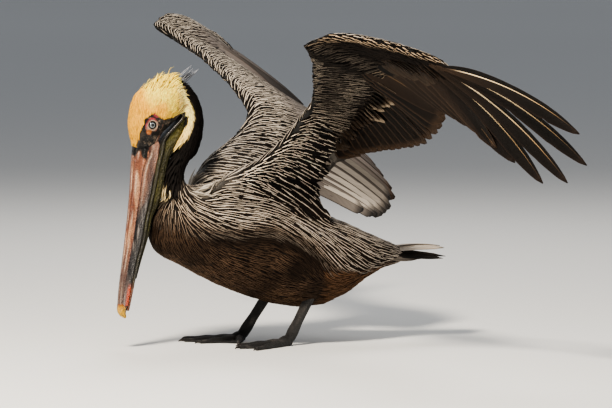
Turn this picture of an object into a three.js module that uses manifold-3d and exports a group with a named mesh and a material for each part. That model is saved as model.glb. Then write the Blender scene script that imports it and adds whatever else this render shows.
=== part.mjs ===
// A brown pelican at life size: standing, bill tucked down against the breast, both wings raised.
// Millimetres. The bird faces -Y, its left is +X and +Z is up. The feet stand on z = 0.
import * as THREE from "three";
import { mergeVertices } from "three/addons/utils/BufferGeometryUtils.js";
import Module from "manifold-3d";

const wasm = await Module();
wasm.setup();

// ---------------------------------------------------------------- driving dimensions
const GAP = 0.34; // clearance between two pieces that touch
const EYE_RADIUS = 8.6;
const EYE_CENTRE = [20.5, -218, 376];
const NECK_STEPS = 14; // rings along the whole neck
const NECK_SPLITS = [0, 0.36, 0.68, 1]; // where the neck is parted, as shares of its length
const VANE = 1.3; // thickness of a sheet of feathers
const BLADE = 1.1; // thickness of one outer primary
const LAYER = 1.7; // step between one feather layer and the next

// Trunk stations from breast to tail: y, lowest z, highest z, half width.
const TRUNK = [
  [-212, 180, 214, 22],
  [-206, 166, 230, 36],
  [-190, 152, 250, 55],
  [-161, 138, 266, 72],
  [-118, 114, 277, 88],
  [-60, 88, 271, 97],
  [0, 68, 254, 98],
  [60, 61, 232, 91],
  [116, 73, 213, 75],
  [160, 102, 193, 56],
  [200, 124, 175, 37],
  [228, 131, 164, 26],
  [246, 139, 157, 13],
];

// Head stations from the bill's base to the crown: z, front y, back y, half width.
const HEAD = [
  [337, -246, -202, 19],
  [350, -247, -199, 22.5],
  [362, -250, -192, 25.5],
  [376, -252, -176, 28],
  [390, -251, -160, 30],
  [405, -248, -153, 30.5],
  [420, -243, -150, 29.5],
  [434, -234, -152, 26],
  [446, -221, -157, 20],
  [455, -207, -164, 13],
  [461, -196, -171, 6],
];

// Neck stations from the nape to the breast: y, z, radius.
const NECK = [
  [-190, 434, 15],
  [-170, 436, 18.5],
  [-153, 423, 20],
  [-143, 401, 21],
  [-139, 374, 21],
  [-145, 347, 21],
  [-157, 317, 21.5],
  [-167, 292, 23],
  [-165, 264, 30],
  [-150, 230, 44],
];

// Bill stations from base to tip: z, culmen y, cutting-edge y, half width.
const BILL = [
  [336.6, -245, -201, 18.5],
  [308, -247.5, -208, 18],
  [266, -250, -216, 17],
  [224, -254, -225.5, 15.5],
  [182, -259, -233, 14],
  [140, -264.5, -244, 12.5],
  [98, -270, -252, 11.2],
  [72.4, -272, -256, 10],
];
const BILL_STEPS = 10;

// Lower jaw stations: z, front y, depth, half width.
const JAW = [
  [398, -158, 5, 15],
  [385, -166, 7, 19],
  [370, -181, 8, 19],
  [352, -197, 8, 18.5],
  [336, -200.5, 8, 18],
  [308, -207.5, 8, 17.5],
  [266, -215.5, 7.5, 16],
  [224, -225, 7, 14.5],
  [182, -232.5, 6.5, 13],
  [140, -243.5, 6, 11.5],
  [98, -251.5, 5.5, 10],
  [64, -257, 4.5, 6.5],
];

// Pouch stations: z, front y, back y, half width.
const POUCH = [
  [394, -157, -146, 8],
  [376, -168, -153, 13],
  [350, -190, -164, 16],
  [330, -193, -179, 16],
  [300, -201, -186, 15.5],
  [266, -208, -197, 14.5],
  [224, -218, -210.5, 12.5],
  [190, -224.5, -217.5, 11],
  [150, -235, -230, 9],
  [118, -242, -239, 7],
];

// Sheets of quills on a wing: their stretch of the span, how many tips, how far the tips reach
// along the chord, lift above the middle surface, and depth of the rounded tips.
const QUILL_SHEETS = [
  { part: "secondaries", from: 1.03, to: 2.05, count: 11, reach: 1.03, lift: LAYER, scallop: 0.035 },
  { part: "tertials", from: 0.52, to: 1.02, count: 5, reach: 1, lift: 2 * LAYER, scallop: 0.05 },
  { part: "inner_primaries", from: 2.02, to: 2.7, count: 5, reach: 1, lift: 0, scallop: 0.05 },
];

// One wing, in coordinates with x outward. s runs 0 shoulder, 1 elbow, 2 wrist, 3 finger tip.
const LEFT_WING = {
  side: "left",
  sign: 1,
  leading: [
    [0, 38, -140, 232],
    [0.25, 64, -112, 281],
    [0.5, 88, -68, 303],
    [0.75, 120, -19, 347],
    [1, 156, 14, 410],
    [1.2, 200, 3, 434],
    [1.5, 275, -26, 466],
    [1.8, 345, -54, 495],
    [1.93, 385, -79, 510],
    [2, 397, -86, 516],
    [2.06, 408, -81, 527],
    [2.15, 424, -53, 534],
    [2.35, 450, -13, 531],
    [2.55, 480, 25, 523],
    [2.8, 510, 62, 511],
    [3, 528, 86, 501],
  ],
  trailing: [
    [0, 38, 92, 212],
    [0.15, 44, 74, 242],
    [0.3, 50, 62, 270],
    [0.6, 46, 84, 290],
    [0.8, 34, 108, 303],
    [1, 40, 124, 313],
    [1.2, 95, 131, 325],
    [1.5, 215, 140, 338],
    [1.8, 330, 147, 353],
    [2, 405, 147, 382],
    [2.12, 432, 145, 403],
    [2.25, 462, 146, 402],
    [2.4, 492, 154, 393],
    [2.55, 522, 168, 379],
    [2.7, 552, 186, 357],
    [3, 610, 210, 372],
  ],
  tips: [
    [566, 211, 332],
    [598, 246, 301],
    [655, 264, 305],
    [714, 271, 336],
    [745, 245, 387],
  ],
  bow: [0.08, 0.09], // of the outer primaries, upward and forward, as shares of their length
  sheets: QUILL_SHEETS,
};
const RIGHT_WING = {
  side: "right",
  sign: -1,
  leading: [
    [0, 38, -146, 245],
    [0.25, 64, -110, 298],
    [0.5, 92, -68, 326],
    [0.75, 120, -26, 348],
    [1, 156, 12, 387],
    [1.2, 205, 3, 427],
    [1.5, 275, -11, 461],
    [1.8, 345, -36, 500],
    [1.93, 384, -66, 522],
    [2, 396, -84, 537],
    [2.06, 406, -80, 549],
    [2.15, 424, -54, 556],
    [2.35, 450, -21, 552],
    [2.55, 480, 16, 541],
    [2.8, 508, 50, 530],
    [3, 528, 74, 523],
  ],
  trailing: [
    [0, 36, 30, 232],
    [0.3, 44, 90, 240],
    [0.5, 50, 180, 222],
    [0.65, 62, 218, 208],
    [0.8, 80, 238, 211],
    [0.95, 104, 258, 223],
    [1.1, 134, 270, 250],
    [1.3, 200, 252, 304],
    [1.6, 290, 215, 340],
    [1.85, 365, 180, 364],
    [2, 405, 160, 395],
    [2.12, 432, 155, 420],
    [2.25, 462, 152, 418],
    [2.4, 492, 158, 409],
    [2.55, 522, 172, 395],
    [2.7, 538, 187, 376],
    [3, 590, 214, 388],
  ],
  tips: [
    [543, 202, 352],
    [564, 235, 323],
    [604, 269, 325],
    [654, 305, 342],
    [700, 322, 384],
  ],
  bow: [0.02, 0.03],
  sheets: QUILL_SHEETS,
};

// Wing section: s, greatest thickness, thickness at the back of the coverts, share of the chord
// that the coverts take, camber as a share of the chord.
const LEFT_SECTION = [
  [0, 66, 26, 1, 0],
  [0.25, 56, 18, 1, 0],
  [0.5, 44, 11, 0.96, 0.02],
  [0.75, 36, 8, 0.84, 0.04],
  [1, 28, 7, 0.74, 0.05],
  [1.5, 24, 6, 0.64, 0.07],
  [2, 23, 6, 0.56, 0.07],
  [2.15, 21, 6, 0.5, 0.06],
  [2.6, 16, 6, 0.4, 0.05],
  [3, 12, 6, 0.36, 0.03],
];
const RIGHT_SECTION = [
  [0, 66, 26, 1, 0],
  [0.25, 54, 12, 0.8, 0.02],
  [0.5, 42, 8, 0.52, 0.04],
  [0.75, 36, 7, 0.48, 0.06],
  [1, 28, 7, 0.5, 0.07],
  [1.5, 24, 6, 0.56, 0.07],
  [2, 23, 6, 0.56, 0.07],
  [2.15, 21, 6, 0.5, 0.06],
  [2.6, 16, 6, 0.4, 0.05],
  [3, 12, 6, 0.36, 0.03],
];

// Legs: ankle on the foot, and where the shank meets the belly (x outward).
const LEGS = [
  { side: "left", sign: 1, ankle: [50, 13, 12], knee: [50, 62, 98], turn: 12 },
  { side: "right", sign: -1, ankle: [50, -37, 12], knee: [50, 30, 104], turn: 12 },
];
// Toes from the outer one round to the hind toe: length, angle from straight ahead (outward +).
// Their undersides are cut flat at z = 0.
const TOES = [
  { length: 98, angle: 27 },
  { length: 96, angle: 3 },
  { length: 78, angle: -23 },
  { length: 44, angle: -78 },
];
const TOE_RADIUS = 8.2; // at the ankle
const TOE_HEIGHT = [6.2, 2.4]; // of the toe's centre line at the ankle and at the claw
// Toe thickness from ankle to claw: share of the length, radius.
const TOE_RINGS = [
  [0, TOE_RADIUS],
  [0.45, 6.4],
  [1, 3.2],
];
const WEB = { low: 1.2, high: 3.6, dip: 0.16 };
const CLAW = { length: 11, radius: 3.1, height: 3.3, tip: 0.9 };
// Thickness of the ankle joint from back to front: share of the length, radius.
const ANKLE = [
  [0, 6],
  [0.3, 10.5],
  [0.7, 10],
  [1, 6],
];
// Shank thickness from ankle to knee: share of the length, radius.
const SHANK = [
  [0, 9.6],
  [0.12, 10.4],
  [0.3, 8.8],
  [0.7, 9.6],
  [1, 12],
];

// Tail fan
const TAIL = { feathers: 9, half: 60, root: [196, 155], tip: [318, 158], droop: 15 };

// ---------------------------------------------------------------- colours
const COAT = { color: 0x6b625a, roughness: 0.85 };
const BELLY_BROWN = { color: 0x4a3424, roughness: 0.9 };
const HEAD_CREAM = { color: 0xe2c47c, roughness: 0.85 };
const NECK_BLACK = { color: 0x17110e, roughness: 0.8 };
const QUILL = { color: 0x2a211b, roughness: 0.6 };
const PALE_QUILL = { color: 0x8d857c, roughness: 0.7 };
const HORN = { color: 0x9a6a52, roughness: 0.35 };
const NAIL = { color: 0xc9a13a, roughness: 0.35 };
const POUCH_SKIN = { color: 0x3b3a22, roughness: 0.5 };
const EYE_WET = { color: 0xb9c3c4, roughness: 0.08 };
const LEG_SKIN = { color: 0x2b2926, roughness: 0.5 };
const CLAW_HORN = { color: 0x1b1815, roughness: 0.4 };

// ---------------------------------------------------------------- shape tools
const vec = (x, y, z) => new THREE.Vector3(x, y, z);

// A smooth function through rows of [position, value, value, ...], ordered by position.
function track(rows) {
  const ordered = [...rows].sort((a, b) => a[0] - b[0]);
  const places = ordered.map((row) => row[0]);
  const values = ordered.flatMap((row) => row.slice(1));
  const curve = new THREE.CubicInterpolant(places, values, ordered[0].length - 1);
  return (place) => Array.from(curve.evaluate(place));
}

const spread = (from, to, steps) =>
  Array.from({ length: steps + 1 }, (_, i) => from + ((to - from) * i) / steps);

// A manifold solid from a three.js geometry, with its faces turned outward.
function solidOf(geometry) {
  const plain = new THREE.BufferGeometry();
  plain.setAttribute("position", geometry.getAttribute("position"));
  plain.setIndex(geometry.index);
  const merged = mergeVertices(plain, 1e-4);
  const triVerts = new Uint32Array(merged.index.array);
  const build = () =>
    new wasm.Manifold(
      new wasm.Mesh({ numProp: 3, vertProperties: merged.attributes.position.array, triVerts }),
    );
  const made = build();
  if (made.volume() > 0) return made;
  for (let i = 0; i < triVerts.length; i += 3) {
    [triVerts[i + 1], triVerts[i + 2]] = [triVerts[i + 2], triVerts[i + 1]];
  }
  return build();
}

// A closed body over rings of the same even number of points. Each end is closed by rungs
// between the first half of its ring and the second.
function loft(rings) {
  const size = rings[0].length;
  const positions = rings.flatMap((ring) => ring.flatMap((point) => point.toArray()));
  const index = [];
  for (let r = 0; r + 1 < rings.length; r += 1) {
    for (let k = 0; k < size; k += 1) {
      const next = (k + 1) % size;
      const [a, b] = [r * size + k, r * size + next];
      index.push(a, b, b + size, a, b + size, a + size);
    }
  }
  const last = (rings.length - 1) * size;
  for (let k = 0; k < size / 2 - 1; k += 1) {
    const [a, b, c, d] = [k, k + 1, size - 2 - k, size - 1 - k];
    index.push(a, c, b, a, d, c);
    index.push(last + a, last + b, last + c, last + a, last + c, last + d);
  }
  const geometry = new THREE.BufferGeometry();
  geometry.setAttribute("position", new THREE.Float32BufferAttribute(positions, 3));
  geometry.setIndex(index);
  return solidOf(geometry);
}

const largest = (solid) =>
  solid.decompose().reduce((best, piece) => (piece.volume() > best.volume() ? piece : best));

// What is left of a solid outside the others, as one body.
const outside = (solid, ...others) =>
  largest(others.reduce((left, other) => left.subtract(other), solid));

// ---------------------------------------------------------------- body
// Points round an upright section, from its top, in mirrored pairs.
function ovalAngles(count) {
  return Array.from({ length: count }, (_, k) => ((k + 0.5) * 2 * Math.PI) / count);
}

function trunkSolid(grow) {
  const at = track(TRUNK);
  const [first, last] = [TRUNK[0][0], TRUNK[TRUNK.length - 1][0]];
  const places = [first, -208, -200, -184, -161, -130, -95, -50, 0, 45, 90, 130, 165, 200, 228, last];
  const rings = places.map((y) => {
    const [low, high, half] = at(y);
    const middle = low + 0.47 * (high - low);
    return ovalAngles(18).map((angle) => {
      const [side, lift] = [Math.sin(angle), Math.cos(angle)];
      const narrowing = lift > 0 ? 1 - 0.14 * lift : 1;
      const x = (half + grow) * Math.sign(side) * Math.abs(side) ** 0.9 * narrowing;
      const reach = lift > 0 ? high - middle + grow : middle - low + grow;
      const end = y === first ? -grow : y === last ? grow : 0;
      return vec(x, y + end, middle + reach * lift);
    });
  });
  return loft(rings);
}

function headSolid(grow) {
  const at = track(HEAD);
  const [first, last] = [HEAD[0][0], HEAD[HEAD.length - 1][0]];
  const rings = spread(first, last, 10).map((z) => {
    const [front, back, half] = at(z);
    const [middle, deep] = [(front + back) / 2, (back - front) / 2 + grow];
    const end = z === first ? -grow : z === last ? grow : 0;
    return ovalAngles(16).map((angle) => {
      const [side, fore] = [Math.sin(angle), Math.cos(angle)];
      const x = (half + grow) * Math.sign(side) * Math.abs(side) ** 0.85;
      return vec(x, middle - deep * fore, z + end);
    });
  });
  return loft(rings);
}

const neckCurve = new THREE.CatmullRomCurve3(NECK.map(([y, z]) => vec(0, y, z)));

function neckSolid(from, to, grow) {
  const lengths = neckCurve.getLengths(NECK.length - 1);
  const total = lengths[lengths.length - 1];
  const radius = track(NECK.map(([, , r], i) => [lengths[i] / total, r]));
  const steps = Math.max(3, Math.round(NECK_STEPS * (to - from)));
  const rings = spread(from, to, steps).map((u) => {
    const centre = neckCurve.getPointAt(u);
    const tangent = neckCurve.getTangentAt(u);
    const back = vec(0, tangent.z, -tangent.y);
    const [r] = radius(u);
    return ovalAngles(14).map((angle) =>
      centre
        .clone()
        .addScaledVector(back, (r + grow) * Math.cos(angle))
        .add(vec((r * 0.94 + grow) * Math.sin(angle), 0, 0)),
    );
  });
  return loft(rings);
}

// ---------------------------------------------------------------- bill
// Half a section of the upper bill from ridge to cutting edge: share of the half width, share of
// the depth. The dip between the ridge and the side plate is the long groove.
const BILL_HALF = [
  [0.2, 0],
  [0.33, 0.1],
  [0.42, 0.2],
  [0.62, 0.22],
  [0.88, 0.42],
  [1, 0.74],
  [0.97, 1],
  [0.4, 0.94],
];

function billUpper() {
  const at = track(BILL);
  const rings = spread(BILL[0][0], BILL[BILL.length - 1][0], BILL_STEPS).map((z) => {
    const [ridge, edge, half] = at(z);
    const near = BILL_HALF.map(([w, d]) => vec(half * w, ridge + (edge - ridge) * d, z));
    const far = [...near].reverse().map((p) => vec(-p.x, p.y, p.z));
    return [...near, ...far];
  });
  return loft(rings);
}

// The hooked nail at the tip of the bill.
function billNail() {
  const stations = [
    [72, -264, 9.8, 8],
    [66, -264.5, 9.2, 7.8],
    [59, -263.5, 7, 6.6],
    [54, -261, 4.6, 4.6],
    [51, -258.5, 2.2, 2.2],
  ];
  return loft(
    stations.map(([z, y, half, deep]) =>
      ovalAngles(10).map((angle) => vec(half * Math.sin(angle), y - deep * Math.cos(angle), z)),
    ),
  );
}

function barSolid(stations, steps, grow, shape) {
  const at = track(stations);
  const [top, bottom] = [stations[0][0], stations[stations.length - 1][0]];
  return loft(spread(top, bottom, steps).map((z) => shape(z, at(z), grow)));
}

// The lower jaw: a flat bar with rounded edges behind the upper bill.
function jawSection(z, [front, deep, half], grow) {
  const outline = [
    [0.5, 0],
    [0.96, 0],
    [1, 0.35],
    [0.9, 0.85],
    [0.5, 1],
  ];
  const y = (share) => front - grow + (deep + 2 * grow) * share;
  const near = outline.map(([w, d]) => vec((half + grow) * w, y(d), z));
  return [...near, ...[...near].reverse().map((p) => vec(-p.x, p.y, p.z))];
}

// The pouch: a slack bag of skin that narrows backward to a keel.
function pouchSection(z, [front, back, half], grow) {
  const outline = [
    [0.5, 0],
    [0.94, 0.05],
    [0.98, 0.4],
    [0.7, 0.8],
    [0.3, 1],
  ];
  const y = (share) => front - grow + (back - front + 2 * grow) * share;
  const near = outline.map(([w, d]) => vec((half + grow) * w, y(d), z));
  return [...near, ...[...near].reverse().map((p) => vec(-p.x, p.y, p.z))];
}

function crestSolid() {
  const spine = new THREE.QuadraticBezierCurve3(vec(0, -181, 448), vec(0, -162, 462), vec(0, -139, 474));
  return loft(
    spread(0, 1, 5).map((u) => {
      const centre = spine.getPoint(u);
      const tangent = spine.getTangent(u);
      const up = vec(0, -tangent.z, tangent.y);
      const r = 6.5 * (1 - u) ** 0.8 + 0.6;
      return ovalAngles(8).map((angle) =>
        centre
          .clone()
          .addScaledVector(up, r * 0.7 * Math.cos(angle))
          .add(vec(r * Math.sin(angle), 0, 0)),
      );
    }),
  );
}

// ---------------------------------------------------------------- wings
// The wing's middle surface: at(s, c, lift) is the point at share c of the chord, lift above it.
function wingSurface(wing, section) {
  const leading = track(wing.leading);
  const trailing = track(wing.trailing);
  const shape = track(section);
  const chordPoint = (s, c) => vec(...leading(s)).lerp(vec(...trailing(s)), c);
  const limit = (s) => Math.min(2.995, Math.max(0.005, s));
  function normal(s) {
    const along = chordPoint(limit(s + 0.04), 0.45).sub(chordPoint(limit(s - 0.04), 0.45));
    const chord = vec(...trailing(s)).sub(vec(...leading(s)));
    return along.cross(chord).normalize();
  }
  function at(s, c, lift) {
    const [, , , camber] = shape(s);
    const chord = vec(...trailing(s)).distanceTo(vec(...leading(s)));
    const rise = camber * chord * 4 * c * (1 - Math.min(c, 1));
    return chordPoint(s, c).addScaledVector(normal(s), rise + lift);
  }
  return { at, shape, normal };
}

// Shares of the covert length at which a wing section is sampled, and its relative thickness.
const AIRFOIL = [0, 0.06, 0.2, 0.42, 0.7, 1];
function airfoil(u, thick, tail) {
  const NOSE = 0.3;
  if (u < NOSE) return (thick / 2) * Math.sqrt(1 - (1 - u / NOSE) ** 2);
  const k = (u - NOSE) / (1 - NOSE);
  return thick / 2 + (tail / 2 - thick / 2) * k * k * (3 - 2 * k);
}

function wingFlesh(surface, from, to, steps, grow) {
  const rings = spread(from, to, steps).map((s) => {
    const [thick, tail, share] = surface.shape(s);
    const chord = surface.at(s, 0, 0).distanceTo(surface.at(s, 1, 0));
    const reach = grow / chord;
    const place = (u) => -reach + (share + 2 * reach) * u;
    const point = (u, way) => {
      const half = airfoil(u, thick, tail) + grow;
      return surface.at(s, place(u), (way > 0 ? 1.15 : -0.85) * Math.max(half, 0.4));
    };
    return [
      ...AIRFOIL.map((u) => point(u, 1)),
      ...[...AIRFOIL].reverse().map((u) => point(u, -1)),
    ];
  });
  return loft(rings);
}

// A sheet of overlapping feathers with rounded tips, lift above the middle surface.
function featherSheet(surface, { from, to, count, reach, lift, scallop }, grow) {
  const COLUMNS = 2;
  const rings = spread(from, to, count * COLUMNS).map((s, i) => {
    const [, , share] = surface.shape(s);
    const root = Math.max(0.1, share - 0.14);
    const bulge = scallop * Math.sin((Math.PI * (i % COLUMNS)) / COLUMNS);
    const tip = reach - scallop + bulge;
    const row = (way) =>
      [root, (root + tip) / 2, tip].map((c) => surface.at(s, c, lift + way * (VANE / 2 + grow)));
    return [...row(1), ...row(-1).reverse()];
  });
  return loft(rings);
}

// One long primary: a slim blade from the hand to its tip, bowed upward and forward.
const BLADE_WIDTH = track([
  [0, 0.5],
  [0.14, 0.9],
  [0.42, 1],
  [0.6, 0.8],
  [0.85, 0.52],
  [0.96, 0.24],
  [1, 0.05],
]);

function primaryBlade(root, tip, up, bow, width, lift, grow) {
  const span = tip.clone().sub(root);
  const forward = span.clone().cross(up).normalize();
  const bend = root
    .clone()
    .addScaledVector(span, 0.5)
    .addScaledVector(up, bow[0] * span.length())
    .addScaledVector(forward, bow[1] * span.length());
  const spine = new THREE.QuadraticBezierCurve3(root, bend, tip);
  return loft(
    spread(0, 1, 7).map((u) => {
      const tangent = spine.getTangent(u).normalize();
      const across = tangent.clone().cross(up).normalize();
      const face = across.clone().cross(tangent).normalize();
      const centre = spine.getPoint(u).addScaledVector(face, lift);
      const half = (width / 2) * BLADE_WIDTH(u)[0] + grow;
      const thick = BLADE / 2 + grow;
      const bar = (w, way) =>
        centre
          .clone()
          .addScaledVector(across, half * w)
          .addScaledVector(face, thick * way - half * 0.1 * w * w);
      return [bar(-1, 1), bar(0, 1), bar(1, 1), bar(1, -1), bar(0, -1), bar(-1, -1)];
    }),
  );
}

function wingPieces(wing, section, trunkGrown) {
  const surface = wingSurface(wing, section);
  const name = (part) => `wing_${wing.side}_${part}`;
  const step = GAP / 90; // the cut between two lengths of the wing, as a share of a span unit
  const lengths = [
    ["upper_arm", 0, 1 - step],
    ["forearm", 1 + step, 2 - step],
    ["hand", 2 + step, 3],
  ];
  const flesh = (from, to, grow) => wingFlesh(surface, from, to, 7, grow);
  const pieces = lengths.map(([part, from, to]) => [name(part), flesh(from, to, 0), COAT]);
  const covered = lengths
    .map(([, from, to]) => flesh(from, to, GAP))
    .reduce((all, solid) => all.add(solid), wingFlesh(surface, 0, 3, 21, 0));
  let laid = covered;
  for (const sheet of wing.sheets) {
    const solid = featherSheet(surface, sheet, 0).subtract(laid);
    laid = laid.add(featherSheet(surface, sheet, GAP));
    pieces.push([name(sheet.part), solid, sheet.part === "tertials" ? PALE_QUILL : QUILL]);
  }
  const up = surface.normal(2.85);
  const blades = wing.tips.map((tip, i) => (grow) => {
    const root = surface.at(2.66 + (0.32 * i) / (wing.tips.length - 1), 0.14, 0);
    return primaryBlade(root, vec(...tip), up, wing.bow, 33 - i, -LAYER * (i + 0.6), grow);
  });
  blades.forEach((blade, i) => {
    const outer = blades.slice(i + 1).map((next) => next(GAP));
    pieces.push([name(`primary_${6 + i}`), outside(blade(0), laid, ...outer), QUILL]);
  });
  return pieces.map(([label, solid, colour]) => {
    const placed = wing.sign > 0 ? solid : solid.mirror([1, 0, 0]);
    return [label, outside(placed, trunkGrown), colour];
  });
}

// ---------------------------------------------------------------- tail
function tailSolid() {
  const COLUMNS = 2;
  const count = TAIL.feathers * COLUMNS;
  const rings = spread(-1, 1, count).map((w, i) => {
    const sink = TAIL.droop * w * w;
    const bulge = 9 * Math.sin((Math.PI * (i % COLUMNS)) / COLUMNS) - 26 * w * w;
    const row = (way) =>
      [0, 0.5, 1].map((u) => {
        const y = TAIL.root[0] + (TAIL.tip[0] - 9 + bulge - TAIL.root[0]) * u;
        const z = TAIL.root[1] + (TAIL.tip[1] - TAIL.root[1]) * u - sink * (0.35 + 0.65 * u);
        const thick = 2.6 - 1.2 * u;
        return vec(TAIL.half * w * (0.32 + 0.68 * u), y, z + way * thick);
      });
    return [...row(1), ...row(-1).reverse()];
  });
  return loft(rings);
}

// ---------------------------------------------------------------- legs
function tube(from, to, radii, flatten, sides, grow = 0) {
  const direction = to.clone().sub(from).normalize();
  const side = Math.abs(direction.z) > 0.9 ? vec(1, 0, 0) : vec(0, 0, 1).cross(direction).normalize();
  const over = direction.clone().cross(side).normalize();
  return loft(
    radii.map(([u, r]) =>
      ovalAngles(sides).map((angle) =>
        from
          .clone()
          .lerp(to, u)
          .addScaledVector(over, (r + grow) * Math.cos(angle))
          .addScaledVector(side, (r * flatten + grow) * Math.sin(angle)),
      ),
    ),
  );
}

const toeTip = ({ length, angle }) => {
  const a = THREE.MathUtils.degToRad(angle);
  return vec(length * Math.sin(a), -length * Math.cos(a), 0);
};

const ankleSolid = (grow) => tube(vec(0, 9, 6), vec(0, -14, 8), ANKLE, 0.95, 8, grow);

function footSolid() {
  const toes = TOES.map((toe) => {
    const tip = toeTip(toe).setZ(TOE_HEIGHT[1]);
    return tube(vec(0, 2, TOE_HEIGHT[0]), tip, TOE_RINGS, 0.95, 6);
  });
  const web = new THREE.Shape();
  web.moveTo(4, 6);
  TOES.forEach((toe, i) => {
    const tip = toeTip(toe).multiplyScalar(0.96);
    if (i === 0) {
      web.lineTo(tip.x + 2, tip.y);
      return;
    }
    const before = toeTip(TOES[i - 1]).multiplyScalar(0.96);
    const dip = before.clone().add(tip).multiplyScalar(0.5 - WEB.dip);
    web.quadraticCurveTo(dip.x, dip.y, tip.x, tip.y);
  });
  web.lineTo(-6, 4);
  web.closePath();
  const plate = new THREE.ExtrudeGeometry(web, {
    depth: WEB.high - WEB.low,
    bevelEnabled: false,
    curveSegments: 3,
  });
  plate.translate(0, 0, WEB.low);
  const below = solidOf(new THREE.BoxGeometry(400, 400, 40).translate(0, 0, -20));
  const joined = [...toes, ankleSolid(0)].reduce((all, piece) => all.add(piece), solidOf(plate));
  return joined.subtract(below);
}

function clawSolid(toe) {
  const a = THREE.MathUtils.degToRad(toe.angle);
  const reach = (distance, z) => vec(distance * Math.sin(a), -distance * Math.cos(a), z);
  const spine = new THREE.QuadraticBezierCurve3(
    reach(toe.length + GAP, CLAW.height),
    reach(toe.length + CLAW.length * 0.7, CLAW.height),
    reach(toe.length + CLAW.length, CLAW.tip),
  );
  const across = reach(1, 0).cross(vec(0, 0, 1));
  return loft(
    spread(0, 1, 3).map((u) => {
      const over = spine.getTangent(u).cross(across).normalize();
      const r = CLAW.radius * (1 - 0.78 * u);
      return ovalAngles(6).map((angle) =>
        spine
          .getPoint(u)
          .addScaledVector(over, r * Math.cos(angle))
          .addScaledVector(across, r * 0.8 * Math.sin(angle)),
      );
    }),
  );
}

function legPieces(leg, trunkGrown) {
  const ankle = vec(...leg.ankle);
  const foot = footSolid();
  const place = (solid) => {
    const turned = solid.rotate([0, 0, leg.turn]).translate([ankle.x, ankle.y, 0]);
    return leg.sign > 0 ? turned : turned.mirror([1, 0, 0]);
  };
  const shank = tube(vec(ankle.x, ankle.y + 4, 14), vec(...leg.knee), SHANK, 0.74, 8);
  const side = leg.sign > 0 ? shank : shank.mirror([1, 0, 0]);
  const pieces = [
    [`leg_${leg.side}`, outside(side, trunkGrown, place(ankleSolid(3 * GAP))), LEG_SKIN],
    [`foot_${leg.side}`, place(foot), LEG_SKIN],
  ];
  TOES.forEach((toe, i) => {
    pieces.push([`claw_${leg.side}_${i + 1}`, place(clawSolid(toe)), CLAW_HORN]);
  });
  return pieces;
}

// ---------------------------------------------------------------- assembly
const trunkGrown = trunkSolid(GAP);
const headGrown = headSolid(GAP);
const NECK_LENGTHS = ["neck_upper", "neck_middle", "neck_lower"].map((name, i) => {
  const [from, to] = [NECK_SPLITS[i] + (i ? 0.001 : 0), NECK_SPLITS[i + 1] - 0.001];
  return [name, from, to];
});
const neckGrown = NECK_LENGTHS.map(([, from, to]) => neckSolid(from, to, GAP)).reduce((a, b) => a.add(b));
const eyeAt = (sign, radius) =>
  solidOf(
    new THREE.SphereGeometry(radius, 10, 7).translate(sign * EYE_CENTRE[0], EYE_CENTRE[1], EYE_CENTRE[2]),
  );
const jaw = (grow) => barSolid(JAW, 10, grow, jawSection);
const head = headSolid(0).subtract(eyeAt(1, EYE_RADIUS + GAP)).subtract(eyeAt(-1, EYE_RADIUS + GAP));
const upperBill = billUpper();
const pieces = [
  ["trunk", trunkSolid(0), BELLY_BROWN],
  ["head", head, HEAD_CREAM],
  ["eye_left", eyeAt(1, EYE_RADIUS), EYE_WET],
  ["eye_right", eyeAt(-1, EYE_RADIUS), EYE_WET],
  ["bill_upper", upperBill, HORN],
  ["bill_nail", billNail(), NAIL],
  ["bill_lower", outside(jaw(0), headGrown, neckGrown), HORN],
  ["pouch", outside(barSolid(POUCH, 8, 0, pouchSection), jaw(GAP), headGrown, neckGrown), POUCH_SKIN],
  ["crest", outside(crestSolid(), headGrown, neckGrown), HEAD_CREAM],
  ["tail", outside(tailSolid(), trunkGrown), PALE_QUILL],
];
NECK_LENGTHS.forEach(([name, from, to]) => {
  pieces.push([name, outside(neckSolid(from, to, 0), headGrown, trunkGrown), NECK_BLACK]);
});
pieces.push(...wingPieces(LEFT_WING, LEFT_SECTION, trunkGrown));
pieces.push(...wingPieces(RIGHT_WING, RIGHT_SECTION, trunkGrown));
LEGS.forEach((leg) => pieces.push(...legPieces(leg, trunkGrown)));

// A named three.js mesh of a solid.
function meshOf([name, solid, look]) {
  const { numProp, vertProperties, triVerts } = solid.getMesh();
  const geometry = new THREE.BufferGeometry();
  const points = Array.from({ length: vertProperties.length / numProp }, (_, i) =>
    Array.from(vertProperties.subarray(i * numProp, i * numProp + 3)),
  );
  geometry.setAttribute("position", new THREE.Float32BufferAttribute(points.flat(), 3));
  geometry.setIndex(new THREE.BufferAttribute(triVerts, 1));
  geometry.computeVertexNormals();
  const mesh = new THREE.Mesh(geometry, new THREE.MeshStandardMaterial({ ...look, metalness: 0 }));
  mesh.name = name;
  return mesh;
}

// The origin is at the middle of the underside of the whole bird.
const pelican = new THREE.Group();
pieces.forEach((piece) => pelican.add(meshOf(piece)));
const box = new THREE.Box3().setFromObject(pelican);
const centre = box.getCenter(new THREE.Vector3());
pelican.position.set(-centre.x, -centre.y, -box.min.z);

export default pelican;
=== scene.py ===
"""A life-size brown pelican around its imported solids: skin, coat of feathers, bill, face, legs and feet.

Shapes are worked out in the bird's own axes in millimetres (x to its left, y to its back, z up, ground at 0)
and moved into the frame, in metres, when a mesh is made.
"""
import math

import bmesh
import bpy
import numpy as np
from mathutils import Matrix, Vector, kdtree
from mathutils.bvhtree import BVHTree


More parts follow.
